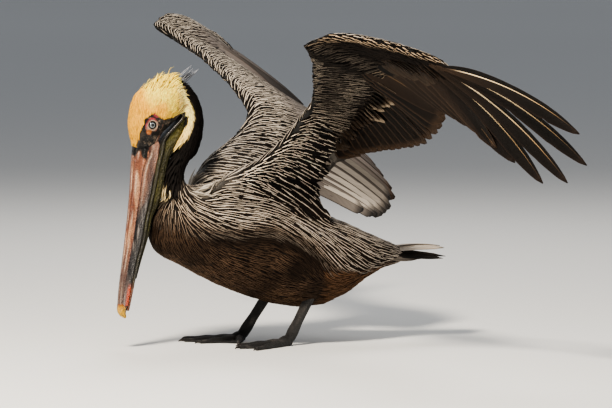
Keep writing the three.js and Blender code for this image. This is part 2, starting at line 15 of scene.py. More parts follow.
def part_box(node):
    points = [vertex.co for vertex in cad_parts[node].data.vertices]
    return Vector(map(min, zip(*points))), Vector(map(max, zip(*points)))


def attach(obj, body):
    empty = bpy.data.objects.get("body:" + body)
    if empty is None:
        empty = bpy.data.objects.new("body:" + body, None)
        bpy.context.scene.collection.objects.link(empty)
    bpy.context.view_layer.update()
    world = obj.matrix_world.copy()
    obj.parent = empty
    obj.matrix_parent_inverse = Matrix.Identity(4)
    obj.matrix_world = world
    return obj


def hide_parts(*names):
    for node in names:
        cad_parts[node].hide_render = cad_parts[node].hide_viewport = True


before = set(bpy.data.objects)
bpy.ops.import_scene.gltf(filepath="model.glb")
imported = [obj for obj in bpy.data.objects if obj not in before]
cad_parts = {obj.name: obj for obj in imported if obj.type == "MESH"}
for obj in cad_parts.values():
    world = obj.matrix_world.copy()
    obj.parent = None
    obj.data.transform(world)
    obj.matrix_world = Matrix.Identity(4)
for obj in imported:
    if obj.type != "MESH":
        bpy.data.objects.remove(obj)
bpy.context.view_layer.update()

MM = 0.001
SEED = 7
rng = np.random.default_rng(SEED)


# ---------------------------------------------------------------- the bird's own axes
EYE_CENTRE = np.array([20.5, -218.0, 376.0])


def node_box(node):
    """Lowest and highest corner of a node, in millimetres of the frame."""
    low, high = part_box(node)
    return np.array(low) / MM, np.array(high) / MM


OFFSET = sum(node_box("eye_left")) / 2 - EYE_CENTRE  # from the bird's axes to the frame


def to_frame(points):
    return (np.asarray(points, float) + OFFSET) * MM


# ---------------------------------------------------------------- camera, floor and light
CAMERA_TURN = 70.0  # degrees from the bird's front towards its left
CAMERA_RISE = 3.5
CAMERA_DISTANCE = 6500.0
CAMERA_AIM = (20.9, 57.5, 238.0)
CAMERA_SENSOR = 36.0
CAMERA_LENS = 224.9
CAMERA_END = 1000  # metres

FLOOR_HALF = 120.0  # metres from the middle to an edge
FLOOR_GREYS = [(0.3, (0.74, 0.74, 0.73)), (0.7, (0.79, 0.79, 0.78))]
SKY, SKY_STRENGTH = (0.80, 0.84, 0.9), 0.3
LIGHT_AIM = np.array([0, 0, 0.3])
# name, turn and rise in degrees, distance and width in metres, power, colour
LIGHTS = [
    ("key", 44, 46, 3.4, 0.6, 225, (1.0, 0.91, 0.78)),
    ("fill", 110, 20, 4.5, 2.5, 16, (0.92, 0.96, 1.0)),
    ("rim", 250, 45, 4.0, 1.6, 55, (1.0, 0.97, 0.92)),
]


def link_object(name, data):
    made = bpy.data.objects.new(name, data)
    bpy.context.scene.collection.objects.link(made)
    return made


def add_looking(name, data, aim, turn, rise, distance):
    """A camera or light that looks at a point of the frame. The angles are in degrees."""
    turn, rise = math.radians(turn), math.radians(rise)
    way = np.array([
        math.sin(turn) * math.cos(rise),
        -math.cos(turn) * math.cos(rise),
        math.sin(rise),
    ])
    made = link_object(name, data)
    made.location = aim + distance * way
    made.rotation_euler = Vector(way).to_track_quat("Z", "Y").to_euler()
    return made


def add_camera():
    data = bpy.data.cameras.new("camera")
    data.sensor_width = CAMERA_SENSOR
    data.lens = CAMERA_LENS
    data.clip_end = CAMERA_END
    bpy.context.scene.camera = add_looking(
        "camera", data, to_frame(CAMERA_AIM), CAMERA_TURN, CAMERA_RISE, CAMERA_DISTANCE * MM)


def add_stage():
    mesh = bpy.data.meshes.new("floor")
    edge = (-FLOOR_HALF, FLOOR_HALF)
    mesh.from_pydata([(x, y, 0.0) for y in edge for x in edge], [], [(0, 1, 3, 2)])
    floor = link_object("floor", mesh)
    graph = Graph("floor_pale", {"Roughness": 0.7})
    tint = graph.nodes.new("ShaderNodeValToRGB")
    for element, (place, colour) in zip(tint.color_ramp.elements, FLOOR_GREYS):
        element.position = place
        element.color = (*colour, 1)
    graph.feed(tint.inputs["Fac"], graph.noise(None, 6.0, 2.0))
    graph.paint(tint.outputs["Color"])
    mesh.materials.append(graph.material)
    world = bpy.data.worlds.new("studio")
    world.use_nodes = True
    background = world.node_tree.nodes["Background"]
    background.inputs["Color"].default_value = (*SKY, 1)
    background.inputs["Strength"].default_value = SKY_STRENGTH
    bpy.context.scene.world = world
    bpy.context.scene.view_settings.look = "AgX - Medium High Contrast"
    for name, turn, rise, distance, width, power, colour in LIGHTS:
        data = bpy.data.lights.new(name, "AREA")
        data.size = width
        data.energy = power
        data.color = colour
        add_looking(name, data, LIGHT_AIM, turn, rise, distance)


# ---------------------------------------------------------------- small tools
def linear(code):
    """A colour written as in a paint program, such as 0x8a6b4c, as linear light."""
    parts = np.array([code >> 16 & 255, code >> 8 & 255, code & 255]) / 255
    return np.where(parts <= 0.04045, parts / 12.92, ((parts + 0.055) / 1.055) ** 2.4)


def step(low, high, value):
    """0 below low, 1 above high, smooth between them. Also works with high below low."""
    t = np.clip((np.asarray(value, float) - low) / (high - low), 0, 1)
    return t * t * (3 - 2 * t)


def unit(vectors):
    vectors = np.asarray(vectors, float)
    length = np.linalg.norm(vectors, axis=-1, keepdims=True)
    return vectors / np.maximum(length, 1e-9)


def mix(a, b, share):
    """From a to b. A share for each point also mixes single colours or points."""
    share = np.asarray(share, float)
    shape = np.broadcast_shapes(np.shape(a), np.shape(b))
    if share.ndim and share.shape[-1] != 1 and shape[-1:] == (3,) and shape != share.shape:
        share = share[..., None]
    return a + (b - a) * share


def track(rows):
    """A smooth function through rows of (position, value, value, ...)."""
    rows = np.array(sorted(tuple(row) for row in rows), float)
    t, values = rows[:, 0], rows[:, 1:]
    last = len(t) - 1

    def at(place):
        place = np.clip(np.asarray(place, float), t[0], t[-1])
        i = np.clip(np.searchsorted(t, place, side="right"), 1, last)
        t0, t1 = t[i - 1], t[i]
        before = np.where(i >= 2, i - 2, i)
        after = np.where(i < last, i + 1, i - 1)
        after = np.clip(after, 0, last)
        wide = t1 - t0
        w_before = wide / 2 / (t0 - t[before])
        w_after = wide / 2 / (t[after] - t1)
        p = (place - t0) / wide
        s_before = -w_before * p**3 + 2 * w_before * p**2 - w_before * p
        s_0 = (1 + w_before) * p**3 + (-1.5 - 2 * w_before) * p**2 + (w_before - 0.5) * p + 1
        s_1 = (-1 - w_after) * p**3 + (1.5 + w_after) * p**2 + 0.5 * p
        s_after = w_after * (p**3 - p**2)
        return (
            s_before[..., None] * values[before]
            + s_0[..., None] * values[i - 1]
            + s_1[..., None] * values[i]
            + s_after[..., None] * values[after]
        )

    return at


def fast_mesh(name, points, *face_sets):
    """A mesh from arrays of quads, of triangles or of both. Points are in the bird's axes."""
    face_sets = [np.asarray(faces, np.int32) for faces in face_sets]
    corners = np.concatenate([faces.ravel() for faces in face_sets])
    sizes = np.concatenate([np.full(len(faces), faces.shape[1]) for faces in face_sets])
    starts = np.concatenate([[0], np.cumsum(sizes)[:-1]]).astype(np.int32)
    mesh = bpy.data.meshes.new(name)
    mesh.vertices.add(len(points))
    mesh.vertices.foreach_set("co", to_frame(points).astype(np.float32).ravel())
    mesh.loops.add(len(corners))
    mesh.loops.foreach_set("vertex_index", corners)
    mesh.polygons.add(len(sizes))
    mesh.polygons.foreach_set("loop_start", starts)
    mesh.polygons.foreach_set("use_smooth", np.ones(len(sizes), bool))
    mesh.update(calc_edges=True)
    return mesh


def add_colours(mesh, name, values):
    """A colour at each vertex: rows of red, green, blue and a fourth number."""
    layer = mesh.color_attributes.new(name, "FLOAT_COLOR", "POINT")
    layer.data.foreach_set("color", np.asarray(values, np.float32).ravel())


def add_skin_colours(mesh, colours):
    add_colours(mesh, "Skin", np.column_stack([colours, np.ones(len(colours))]))


def layers(colour, *coats):
    """A colour with others laid over it in turn: each coat is a colour, or its code, and a share."""
    for over, share in coats:
        colour = mix(colour, linear(over) if isinstance(over, int) else over, share)
    return colour


def add_uv(mesh, name, values):
    """A UV map from one pair of numbers at each vertex."""
    layer = mesh.uv_layers.new(name=name)
    index = np.zeros(len(mesh.loops), np.int32)
    mesh.loops.foreach_get("vertex_index", index)
    layer.data.foreach_set("uv", np.asarray(values, np.float32)[index].ravel())


def mesh_arrays(mesh):
    """Points in the bird's axes, normals and triangles of a mesh in the frame."""
    points = np.zeros(len(mesh.vertices) * 3, np.float32)
    mesh.vertices.foreach_get("co", points)
    normals = np.zeros(len(mesh.vertices) * 3, np.float32)
    mesh.vertex_normals.foreach_get("vector", normals)
    mesh.calc_loop_triangles()
    triangles = np.zeros(len(mesh.loop_triangles) * 3, np.int32)
    mesh.loop_triangles.foreach_get("vertices", triangles)
    points = points.reshape(-1, 3).astype(float) / MM - OFFSET
    return points, normals.reshape(-1, 3).astype(float), triangles.reshape(-1, 3)


def add_piece(name, mesh, material, replaced=()):
    """Links a finished mesh, rides it on the bird and hides the nodes that it stands for."""
    piece = link_object(name, mesh)
    mesh.materials.append(material)
    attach(piece, "root")
    if replaced:
        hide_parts(*replaced)


SHRINK, GROW = 0.5, -0.47  # the shares of each round of relax


def relax(points, edges, rounds, only=None):
    """Moves each point towards the middle of its neighbours, then part of the way back out."""
    count = np.bincount(edges.ravel(), minlength=len(points))[:, None]
    moved = points.copy()
    for share in [SHRINK, GROW] * rounds:
        total = np.zeros_like(moved)
        np.add.at(total, edges[:, 0], moved[edges[:, 1]])
        np.add.at(total, edges[:, 1], moved[edges[:, 0]])
        shift = share * (total / np.maximum(count, 1) - moved)
        moved += shift if only is None else shift * only[:, None]
    return moved


# ---------------------------------------------------------------- materials
class Graph:
    """One material and its shader nodes. Most methods add a node and return its output."""

    def __init__(self, name, settings):
        self.material = bpy.data.materials.new(name)
        self.material.use_nodes = True
        self.nodes, self.links = self.material.node_tree.nodes, self.material.node_tree.links
        self.shader = self.nodes["Principled BSDF"]
        for key, value in settings.items():
            self.shader.inputs[key].default_value = value

    def feed(self, socket, value):
        """Gives a socket a number or another node's output."""
        if isinstance(value, (int, float)):
            socket.default_value = value
        else:
            self.links.new(value, socket)

    def math(self, operation, *inputs):
        node = self.nodes.new("ShaderNodeMath")
        node.operation = operation
        for socket, value in zip(node.inputs, inputs):
            self.feed(socket, value)
        return node.outputs[0]

    def combine(self, kind, *inputs):
        """A vector (XYZ) or a colour (Color) from its parts."""
        node = self.nodes.new("ShaderNodeCombine" + kind)
        for socket, value in zip(node.inputs, inputs):
            self.feed(socket, value)
        return node.outputs[0]

    def ease(self, value, low, high, to_low=0.0, to_high=1.0):
        """Goes smoothly from to_low to to_high while the value goes from low to high."""
        node = self.nodes.new("ShaderNodeMapRange")
        node.interpolation_type = "SMOOTHSTEP"
        keys = ("Value", "From Min", "From Max", "To Min", "To Max")
        for key, given in zip(keys, (value, low, high, to_low, to_high)):
            self.feed(node.inputs[key], given)
        return node.outputs["Result"]

    def mix(self, share, a, b, blend="MIX"):
        node = self.nodes.new("ShaderNodeMix")
        node.data_type = "RGBA"
        node.blend_type = blend
        given = {"Factor_Float": share, "A_Color": a, "B_Color": b}
        for socket in node.inputs:
            if socket.identifier in given:
                self.feed(socket, given[socket.identifier])
        return next(s for s in node.outputs if s.identifier == "Result_Color")

    def shade(self, colour, brightness):
        grey = self.combine("Color", brightness, brightness, brightness)
        return self.mix(1.0, colour, grey, "MULTIPLY")

    def attribute(self, name):
        """A colour given at each vertex, and its fourth number."""
        node = self.nodes.new("ShaderNodeAttribute")
        node.attribute_name = name
        return node.outputs["Color"], node.outputs["Alpha"]

    def noise(self, vector, scale, detail=3.0):
        node = self.nodes.new("ShaderNodeTexNoise")
        node.inputs["Scale"].default_value = scale
        node.inputs["Detail"].default_value = detail
        if vector is not None:
            self.links.new(vector, node.inputs["Vector"])
        return node.outputs["Fac"]

    def paint(self, colour):
        self.links.new(colour, self.shader.inputs["Base Color"])

    def bump(self, height, strength, distance):
        node = self.nodes.new("ShaderNodeBump")
        node.inputs["Strength"].default_value = strength
        node.inputs["Distance"].default_value = distance
        self.links.new(height, node.inputs["Height"])
        self.links.new(node.outputs["Normal"], self.shader.inputs["Normal"])

    def vane(self):
        """Distance from the shaft (0 to 1), place along the vane, and which side of the shaft."""
        uv = self.nodes.new("ShaderNodeUVMap")
        uv.uv_map = "Vane"
        parts = self.nodes.new("ShaderNodeSeparateXYZ")
        self.links.new(uv.outputs["UV"], parts.inputs[0])
        side = self.math("SUBTRACT", parts.outputs["X"], 0.5)
        off = self.math("MULTIPLY", self.math("ABSOLUTE", side), 2.0)
        return off, parts.outputs["Y"], side

    def barbs(self, off, along, count, slant):
        """Fine ridges that run from the shaft outward and towards the tip."""
        place = self.math("SUBTRACT", along, self.math("MULTIPLY", off, slant))
        wave = self.math("SINE", self.math("MULTIPLY", place, count))
        return self.math("MULTIPLY_ADD", wave, 0.5, 0.5)

    def paint_mottled(self, scale, detail, darkest, lightest):
        """Paints with the colour of each vertex in fine patches. Returns the place and the patches."""
        where = self.nodes.new("ShaderNodeTexCoord").outputs["Object"]
        mottle = self.noise(where, scale, detail)
        amount = self.ease(mottle, 0.3, 0.7, darkest, lightest)
        self.paint(self.shade(self.attribute("Skin")[0], amount))
        return where, mottle


def plumage_material():
    """Small feathers: a middle streak and an edge colour, both given at each vertex."""
    graph = Graph("plumage", {"Roughness": 0.68, "Specular IOR Level": 0.08})
    off, along, _ = graph.vane()
    middle, width = graph.attribute("Mid")
    edge, chance = graph.attribute("Edge")
    lean = graph.math("MULTIPLY_ADD", off, -1.6, along)
    place = graph.combine(
        "XYZ",
        graph.math("MULTIPLY", off, 1.4),
        graph.math("MULTIPLY", lean, 7.0),
        graph.math("MULTIPLY", chance, 40.0),
    )
    ragged = graph.math("SUBTRACT", graph.noise(place, 3.0), 0.5)
    ragged = graph.math("MULTIPLY_ADD", ragged, 0.6, off)
    inner, outer = graph.math("SUBTRACT", width, 0.04), graph.math("ADD", width, 0.05)
    colour = graph.mix(graph.ease(ragged, outer, inner), edge, middle)
    barbs = graph.barbs(off, along, 95.0, 0.35)
    graph.paint(graph.shade(colour, graph.ease(barbs, 0.0, 0.6, 0.84, 1.0)))
    graph.bump(barbs, 0.25, 0.0003)
    return graph.material


def quill_material():
    """Flight feathers: shaft, outer vane and inner vane, their colours given at each vertex."""
    graph = Graph("quills", {"Roughness": 0.5, "Specular IOR Level": 0.13})
    off, along, side = graph.vane()
    shaft, width = graph.attribute("Mid")
    outer, chance = graph.attribute("Edge")
    vane = graph.mix(graph.ease(side, -0.03, 0.03), graph.attribute("Inner")[0], outer)
    barbs = graph.barbs(off, along, 520.0, 0.16)
    bands = graph.barbs(off, along, 70.0, 0.16)
    lean = graph.math("MULTIPLY_ADD", off, -0.16, along)
    patch = graph.noise(graph.combine("XYZ", lean, graph.math("MULTIPLY", chance, 50.0)), 14.0)
    brightness = 0.72
    for height, amount in ((barbs, 0.16), (bands, 0.08), (patch, 0.3)):
        brightness = graph.math("MULTIPLY_ADD", height, amount, brightness)
    line = graph.ease(off, graph.math("ADD", width, 0.03), width)
    graph.paint(graph.mix(line, graph.shade(vane, brightness), shaft))
    graph.bump(barbs, 0.2, 0.0003)
    return graph.material


def skin_material(name, roughness, grain, depth, cells=None, gloss=0.0):
    """Bare skin or horn: colour at each vertex, mottled, with a fine relief."""
    graph = Graph(name, {"Roughness": roughness, "Coat Weight": gloss, "Coat Roughness": 0.16})
    where, height = graph.paint_mottled(grain, 5.0, 0.7, 1.22)
    if cells:
        pattern = graph.nodes.new("ShaderNodeTexVoronoi")
        pattern.feature = "DISTANCE_TO_EDGE"
        pattern.inputs["Scale"].default_value = cells
        graph.links.new(where, pattern.inputs["Vector"])
        groove = graph.ease(pattern.outputs["Distance"], 0.0, 0.12)
        height = graph.math("MULTIPLY_ADD", height, 0.3, groove)
    graph.bump(height, 0.5, depth)
    return graph.material


def eye_material():
    graph = Graph("eye", {"Roughness": 0.12, "Coat Weight": 1.0, "Coat Roughness": 0.03})
    graph.paint_mottled(1800.0, 2.0, 0.85, 1.1)
    return graph.material


# ---------------------------------------------------------------- wings as surfaces
# Sections are rows of (place along the span, thickness at the front, thickness at the back of the
# coverts, the coverts' share of the chord, camber). Both hands have the same ones.
HAND_SECTION = [
    (2, 23, 6, 0.56, 0.07), (2.15, 21, 6, 0.5, 0.06), (2.6, 16, 6, 0.4, 0.05), (3, 12, 6, 0.36, 0.03),
]
# The leading and trailing edges are rows of (place along the span, x outward, y, z), where 0 is the
# shoulder, 1 the elbow, 2 the wrist and 3 the finger tip. The tips are those of the five outer
# primaries, and the bow is how far they bend up and forward, as shares of their length.
WINGS = {
    "left": {
        "sign": 1,
        "leading": [
            (0, 38, -140, 232), (0.25, 64, -112, 281), (0.5, 88, -68, 303), (0.75, 120, -19, 347),
            (1, 156, 14, 410), (1.2, 200, 3, 434), (1.5, 275, -26, 466), (1.8, 345, -54, 495),
            (1.93, 385, -79, 510), (2, 397, -86, 516), (2.06, 408, -81, 527), (2.15, 424, -53, 534),
            (2.35, 450, -13, 531), (2.55, 480, 25, 523), (2.8, 510, 62, 511), (3, 528, 86, 501),
        ],
        "trailing": [
            (0, 38, 92, 212), (0.15, 44, 74, 242), (0.3, 50, 62, 270), (0.6, 46, 84, 290),
            (0.8, 34, 108, 303), (1, 40, 124, 313), (1.2, 95, 131, 325), (1.5, 215, 140, 338),
            (1.8, 330, 147, 353), (2, 405, 147, 382), (2.12, 432, 145, 403), (2.25, 462, 146, 402),
            (2.4, 492, 154, 393), (2.55, 522, 168, 379), (2.7, 552, 186, 357), (3, 610, 210, 372),
        ],
        "section": [
            (0, 66, 26, 1, 0), (0.25, 56, 18, 1, 0), (0.5, 44, 11, 0.96, 0.02),
            (0.75, 36, 8, 0.84, 0.04), (1, 28, 7, 0.74, 0.05), (1.5, 24, 6, 0.64, 0.07),
        ] + HAND_SECTION,
        "tips": [(566, 211, 332), (598, 246, 301), (655, 264, 305), (714, 271, 336), (745, 245, 387)],
        "bow": (0.08, 0.09),
    },
    "right": {
        "sign": -1,
        "leading": [
            (0, 38, -146, 245), (0.25, 64, -110, 298), (0.5, 92, -68, 326), (0.75, 120, -26, 348),
            (1, 156, 12, 387), (1.2, 205, 3, 427), (1.5, 275, -11, 461), (1.8, 345, -36, 500),
            (1.93, 384, -66, 522), (2, 396, -84, 537), (2.06, 406, -80, 549), (2.15, 424, -54, 556),
            (2.35, 450, -21, 552), (2.55, 480, 16, 541), (2.8, 508, 50, 530), (3, 528, 74, 523),
        ],
        "trailing": [
            (0, 36, 30, 232), (0.3, 44, 90, 240), (0.5, 50, 180, 222), (0.65, 62, 218, 208),
            (0.8, 80, 238, 211), (0.95, 104, 258, 223), (1.1, 134, 270, 250), (1.3, 200, 252, 304),
            (1.6, 290, 215, 340), (1.85, 365, 180, 364), (2, 405, 160, 395), (2.12, 432, 155, 420),
            (2.25, 462, 152, 418), (2.4, 492, 158, 409), (2.55, 522, 172, 395), (2.7, 538, 187, 376),
            (3, 590, 214, 388),
        ],
        "section": [
            (0, 66, 26, 1, 0), (0.25, 54, 12, 0.8, 0.02), (0.5, 42, 8, 0.52, 0.04),
            (0.75, 36, 7, 0.48, 0.06), (1, 28, 7, 0.5, 0.07), (1.5, 24, 6, 0.56, 0.07),
        ] + HAND_SECTION,
        "tips": [(543, 202, 352), (564, 235, 323), (604, 269, 325), (654, 305, 342), (700, 322, 384)],
        "bow": (0.02, 0.03),
    },
}


class Wing:
    """The middle surface of one wing: at(s, c, lift) is share c of the chord at place s, lift above it."""

    def __init__(self, side):
        data = WINGS[side]
        self.side, self.sign, self.bow = side, data["sign"], data["bow"]
        self.leading, self.trailing = track(data["leading"]), track(data["trailing"])
        self.section = track(data["section"])
        self.flip = np.array([data["sign"], 1, 1])
        self.tips = np.array(data["tips"], float)

    def chord_point(self, s, c):
        return mix(self.leading(s), self.trailing(s), np.asarray(c, float)[..., None])

    def _normal(self, s):
        ahead, behind = np.clip(s + 0.04, 0.005, 2.995), np.clip(s - 0.04, 0.005, 2.995)
        middle = np.full(np.shape(s), 0.45)
        span = self.chord_point(ahead, middle) - self.chord_point(behind, middle)
        return unit(np.cross(span, self.trailing(s) - self.leading(s)))

    def normal(self, s):
        """Towards the upper (back) side of the wing."""
        return self._normal(np.asarray(s, float)) * self.flip

    def at(self, s, c, lift=0.0):
        s, c = np.broadcast_arrays(np.asarray(s, float), np.asarray(c, float))
        chord = np.linalg.norm(self.trailing(s) - self.leading(s), axis=-1)
        camber = self.section(s)[..., 3]
        rise = camber * chord * 4 * c * (1 - np.minimum(c, 1)) + lift
        return (self.chord_point(s, c) + self._normal(s) * rise[..., None]) * self.flip

    def covered(self, s):
        """The share of the chord under small feathers at one place."""
        return self.section(np.array([s]))[0, 2]

    def chord(self, s):
        """The wing's depth at one place."""
        return np.linalg.norm(self.at([s], [1.0]) - self.at([s], [0.0]))

    def ways(self, s, c):
        """Unit vectors outward along the span and backward along the chord."""
        small = 0.02
        outward = self.at(np.clip(s + small, 0, 3), c) - self.at(np.clip(s - small, 0, 3), c)
        backward = self.at(s, c + small) - self.at(s, c - small)
        return unit(outward), unit(backward)


WING = {side: Wing(side) for side in WINGS}

# The neck's middle line, from the nape down to the breast: y, z, radius.
NECK = np.array([
    (-190, 434, 15), (-170, 436, 18.5), (-153, 423, 20), (-143, 401, 21), (-139, 374, 21),
    (-145, 347, 21), (-157, 317, 21.5), (-167, 292, 23), (-165, 264, 30), (-150, 230, 44),
], float)


# ---------------------------------------------------------------- the skin
FLESH = ["trunk", "head", "neck_upper", "neck_middle", "neck_lower"] + [
    f"wing_{side}_{part}" for side in WINGS for part in ("upper_arm", "forearm", "hand")
]
SWELL = 0.6  # closes the gaps between the solids before they are joined
VOXEL = 3.3
# How far the skin lies under the solids: the small feathers fill the room in between.
COAT_DEPTH = 2.6
FACE_DEPTH = 1.0
HEAD_DEPTH = 2.2
WING_DEPTH = 1.9
CROWN_EXTRA = 5.0
NAPE_EXTRA = 11.0

# Outline of the bare face in y and z, from the bill's base round the eye and back to the gape.
FACE = np.array([
    (-244, 330), (-240, 347), (-238, 362), (-234, 374), (-231, 385), (-222, 392), (-214, 396),
    (-206, 389), (-197, 385), (-188, 387), (-178, 389), (-169, 393), (-157, 399), (-150, 394),
    (-152, 376), (-163, 350), (-178, 331), (-186, 322), (-220, 318),
], float)
FACE_LOW = 318
# Half width of the head round the eye, by distance from the eye's middle: the lids stand out.
LID = track([
    (0, 20.0), (4.6, 20.0), (5.7, 23.5), (6.4, 26.8), (7.1, 28.4), (8.0, 28.8), (9.2, 28.1),
    (10.6, 27.2), (12, 26.9), (14, 26.9),
])


def inside_depth(outline, y, z):
    """How far each point is inside an outline, in millimetres: negative outside."""
    points = np.stack([y, z], -1)[:, None, :]
    a, b = outline, np.roll(outline, -1, 0)
    along = b - a
    share = np.clip(((points - a) * along).sum(-1) / (along * along).sum(-1), 0, 1)
    near = a + along * share[..., None]
    distance = np.linalg.norm(points - near, axis=-1).min(1)
    crosses = (a[:, 1] > points[..., 1]) != (b[:, 1] > points[..., 1])
    slope = along[:, 0] / np.where(along[:, 1] == 0, 1e-9, along[:, 1])
    left = points[..., 0] < a[:, 0] + (points[..., 1] - a[:, 1]) * slope
    inside = (crosses & left).sum(1) % 2 == 1
    return np.where(inside, distance, -distance)


def face_depth(points):
    """How far points are inside the bare face. It is only on the two sides of the head."""
    depth = inside_depth(FACE, points[:, 1], points[:, 2])
    side = (np.abs(points[:, 0]) - 10.0) * 1.5 + 100 * step(-231, -225, points[:, 1])
    return np.where(points[:, 2] > 300, np.minimum(depth, side), -50.0)


def eye_distance(points):
    return np.hypot(points[:, 1] - EYE_CENTRE[1], points[:, 2] - EYE_CENTRE[2])


def joined_flesh():
    """One mesh of the solids of flesh, each swollen a little so that they run into each other."""
    whole = bmesh.new()
    for name in FLESH + ["eye_left", "eye_right"]:
        part = bmesh.new()
        part.from_mesh(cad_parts[name].data)
        bmesh.ops.remove_doubles(part, verts=part.verts, dist=1e-5)
        bmesh.ops.recalc_face_normals(part, faces=part.faces)
        part.normal_update()
        for vertex in part.verts:
            vertex.co += vertex.normal * SWELL * MM
        swollen = bpy.data.meshes.new("part")
        part.to_mesh(swollen)
        part.free()
        whole.from_mesh(swollen)
        bpy.data.meshes.remove(swollen)
    mesh = bpy.data.meshes.new("flesh")
    whole.to_mesh(mesh)
    whole.free()
    return mesh


def remeshed(mesh, voxel):
    """The mesh's outer surface as even quads."""
    scratch = link_object("scratch", mesh)
    modifier = scratch.modifiers.new("voxels", "REMESH")
    modifier.mode = "VOXEL"
    modifier.voxel_size = voxel * MM
    graph = bpy.context.evaluated_depsgraph_get()
    made = bpy.data.meshes.new_from_object(scratch.evaluated_get(graph))
    bpy.data.objects.remove(scratch)
    return made


def split_faces(mesh, chosen):
    """Cuts the faces whose middles pass the test into smaller ones."""
    work = bmesh.new()
    work.from_mesh(mesh)
    middles = np.array([face.calc_center_median() for face in work.faces]) / MM - OFFSET
    edges = {edge for face, cut in zip(work.faces, chosen(middles)) if cut for edge in face.edges}
    bmesh.ops.subdivide_edges(work, edges=list(edges), cuts=1, use_grid_fill=True)
    bmesh.ops.triangulate(work, faces=[face for face in work.faces if len(face.verts) > 4])
    work.to_mesh(mesh)
    work.free()


def mesh_edges(mesh):
    pairs = np.zeros(len(mesh.edges) * 2, np.int32)
    mesh.edges.foreach_get("vertices", pairs)
    return pairs.reshape(-1, 2)


def set_points(mesh, points):
    mesh.vertices.foreach_set("co", to_frame(points).astype(np.float32).ravel())
    mesh.update()


def face_folds(points, normals):
    """Lids round the eye and wrinkles on the bare face."""
    near_head = (points[:, 2] > 320) & (points[:, 1] < -150)
    r = eye_distance(points)
    on_side = near_head & (np.abs(points[:, 0]) > 14)
    sign = np.sign(points[:, 0])
    hold = on_side * step(13.0, 9.0, r)
    ring = 0.24 * np.sin(r * 3.6) * step(7.0, 8.0, r) * step(12.5, 9.5, r)
    points = points.copy()
    points[:, 0] = mix(points[:, 0], sign * (LID(r)[:, 0] + ring), hold)
    depth = face_depth(points)
    wrinkle = np.sin(points[:, 2] * 0.9 + 2.2 * np.sin(points[:, 1] * 0.13)) * 0.28
    wrinkle += np.sin(points[:, 1] * 1.3 - points[:, 2] * 0.7) * 0.14
    amount = on_side * step(0.0, 3.0, depth) * step(8.5, 11.0, r)
    return points + normals * (wrinkle * amount)[:, None]


def skin_depth(points, normals):
    """How far each point of the skin lies under the swollen solids."""
    x, y, z = points.T
    bare = step(-3.0, 2.0, face_depth(points))
    depth = mix(COAT_DEPTH, FACE_DEPTH, bare) + SWELL
    head = step(330, 345, z) * step(-150, -165, y)
    depth = np.minimum(depth, mix(COAT_DEPTH + SWELL, HEAD_DEPTH, head))
    depth = depth + CROWN_EXTRA * (head * step(425, 447, z) * step(-168, -180, y))
    nape = step(268, 284, z) * step(330, 302, z) * step(0.1, 0.7, normals[:, 1])
    depth = depth + NAPE_EXTRA * (nape * (np.abs(x) < 60) * (y < -120))
    return mix(depth, WING_DEPTH + SWELL, np.abs(x) > 100)


def build_skin():
    mesh = remeshed(joined_flesh(), VOXEL)
    split_faces(mesh, lambda p: (face_depth(p) > -9) & (p[:, 2] > FACE_LOW))
    split_faces(mesh, lambda p: (eye_distance(p) < 19) & (np.abs(p[:, 0]) > 12) & (p[:, 1] < -150))
    points, _, _ = mesh_arrays(mesh)
    edges = mesh_edges(mesh)
    points = relax(points, edges, 5)
    fine = ((face_depth(points) > -8) & (points[:, 2] > FACE_LOW)).astype(float)
    set_points(mesh, relax(points, edges, 4, only=fine))
    points, normals, _ = mesh_arrays(mesh)
    points = points - normals * skin_depth(points, normals)[:, None]
    set_points(mesh, face_folds(points, normals))
    return mesh


# ---------------------------------------------------------------- colours of the coat
BLACK = np.array([0.0055, 0.0042, 0.0036])
DARK_BROWN = np.array([0.011, 0.0075, 0.0055])
SILVER = np.array([0.55, 0.47, 0.385])
WING_SILVER = np.array([0.40, 0.34, 0.275])
PALE_GREY = np.array([0.36, 0.325, 0.30])
BELLY = np.array([0.066, 0.040, 0.0245])
BELLY_EDGE = np.array([0.009, 0.0057, 0.004])
VENT = np.array([0.115, 0.060, 0.031])
GOLD = np.array([0.78, 0.38, 0.05])
CREAM = np.array([0.96, 0.56, 0.085])
PALE_CREAM = np.array([1.0, 0.715, 0.135])
STRIPE = np.array([0.93, 0.72, 0.28])

# Where the streaked sides meet the brown belly: y, z.
STREAK_EDGE = track([
    (-230, 236), (-190, 222), (-155, 206), (-102, 202), (-60, 201), (-13, 193), (22, 180),
    (49, 162), (62, 146), (100, 133), (160, 128), (240, 120),
])
# Where the cream of the head and neck meets the black of the hindneck: z, y.
BLACK_EDGE = track([
    (300, -198), (318, -190), (326, -184), (340, -165), (357, -152), (378, -144.5), (400, -142.5),
    (408, -146), (418, -155), (428, -162), (438, -168), (463, -172), (480, -170),
])

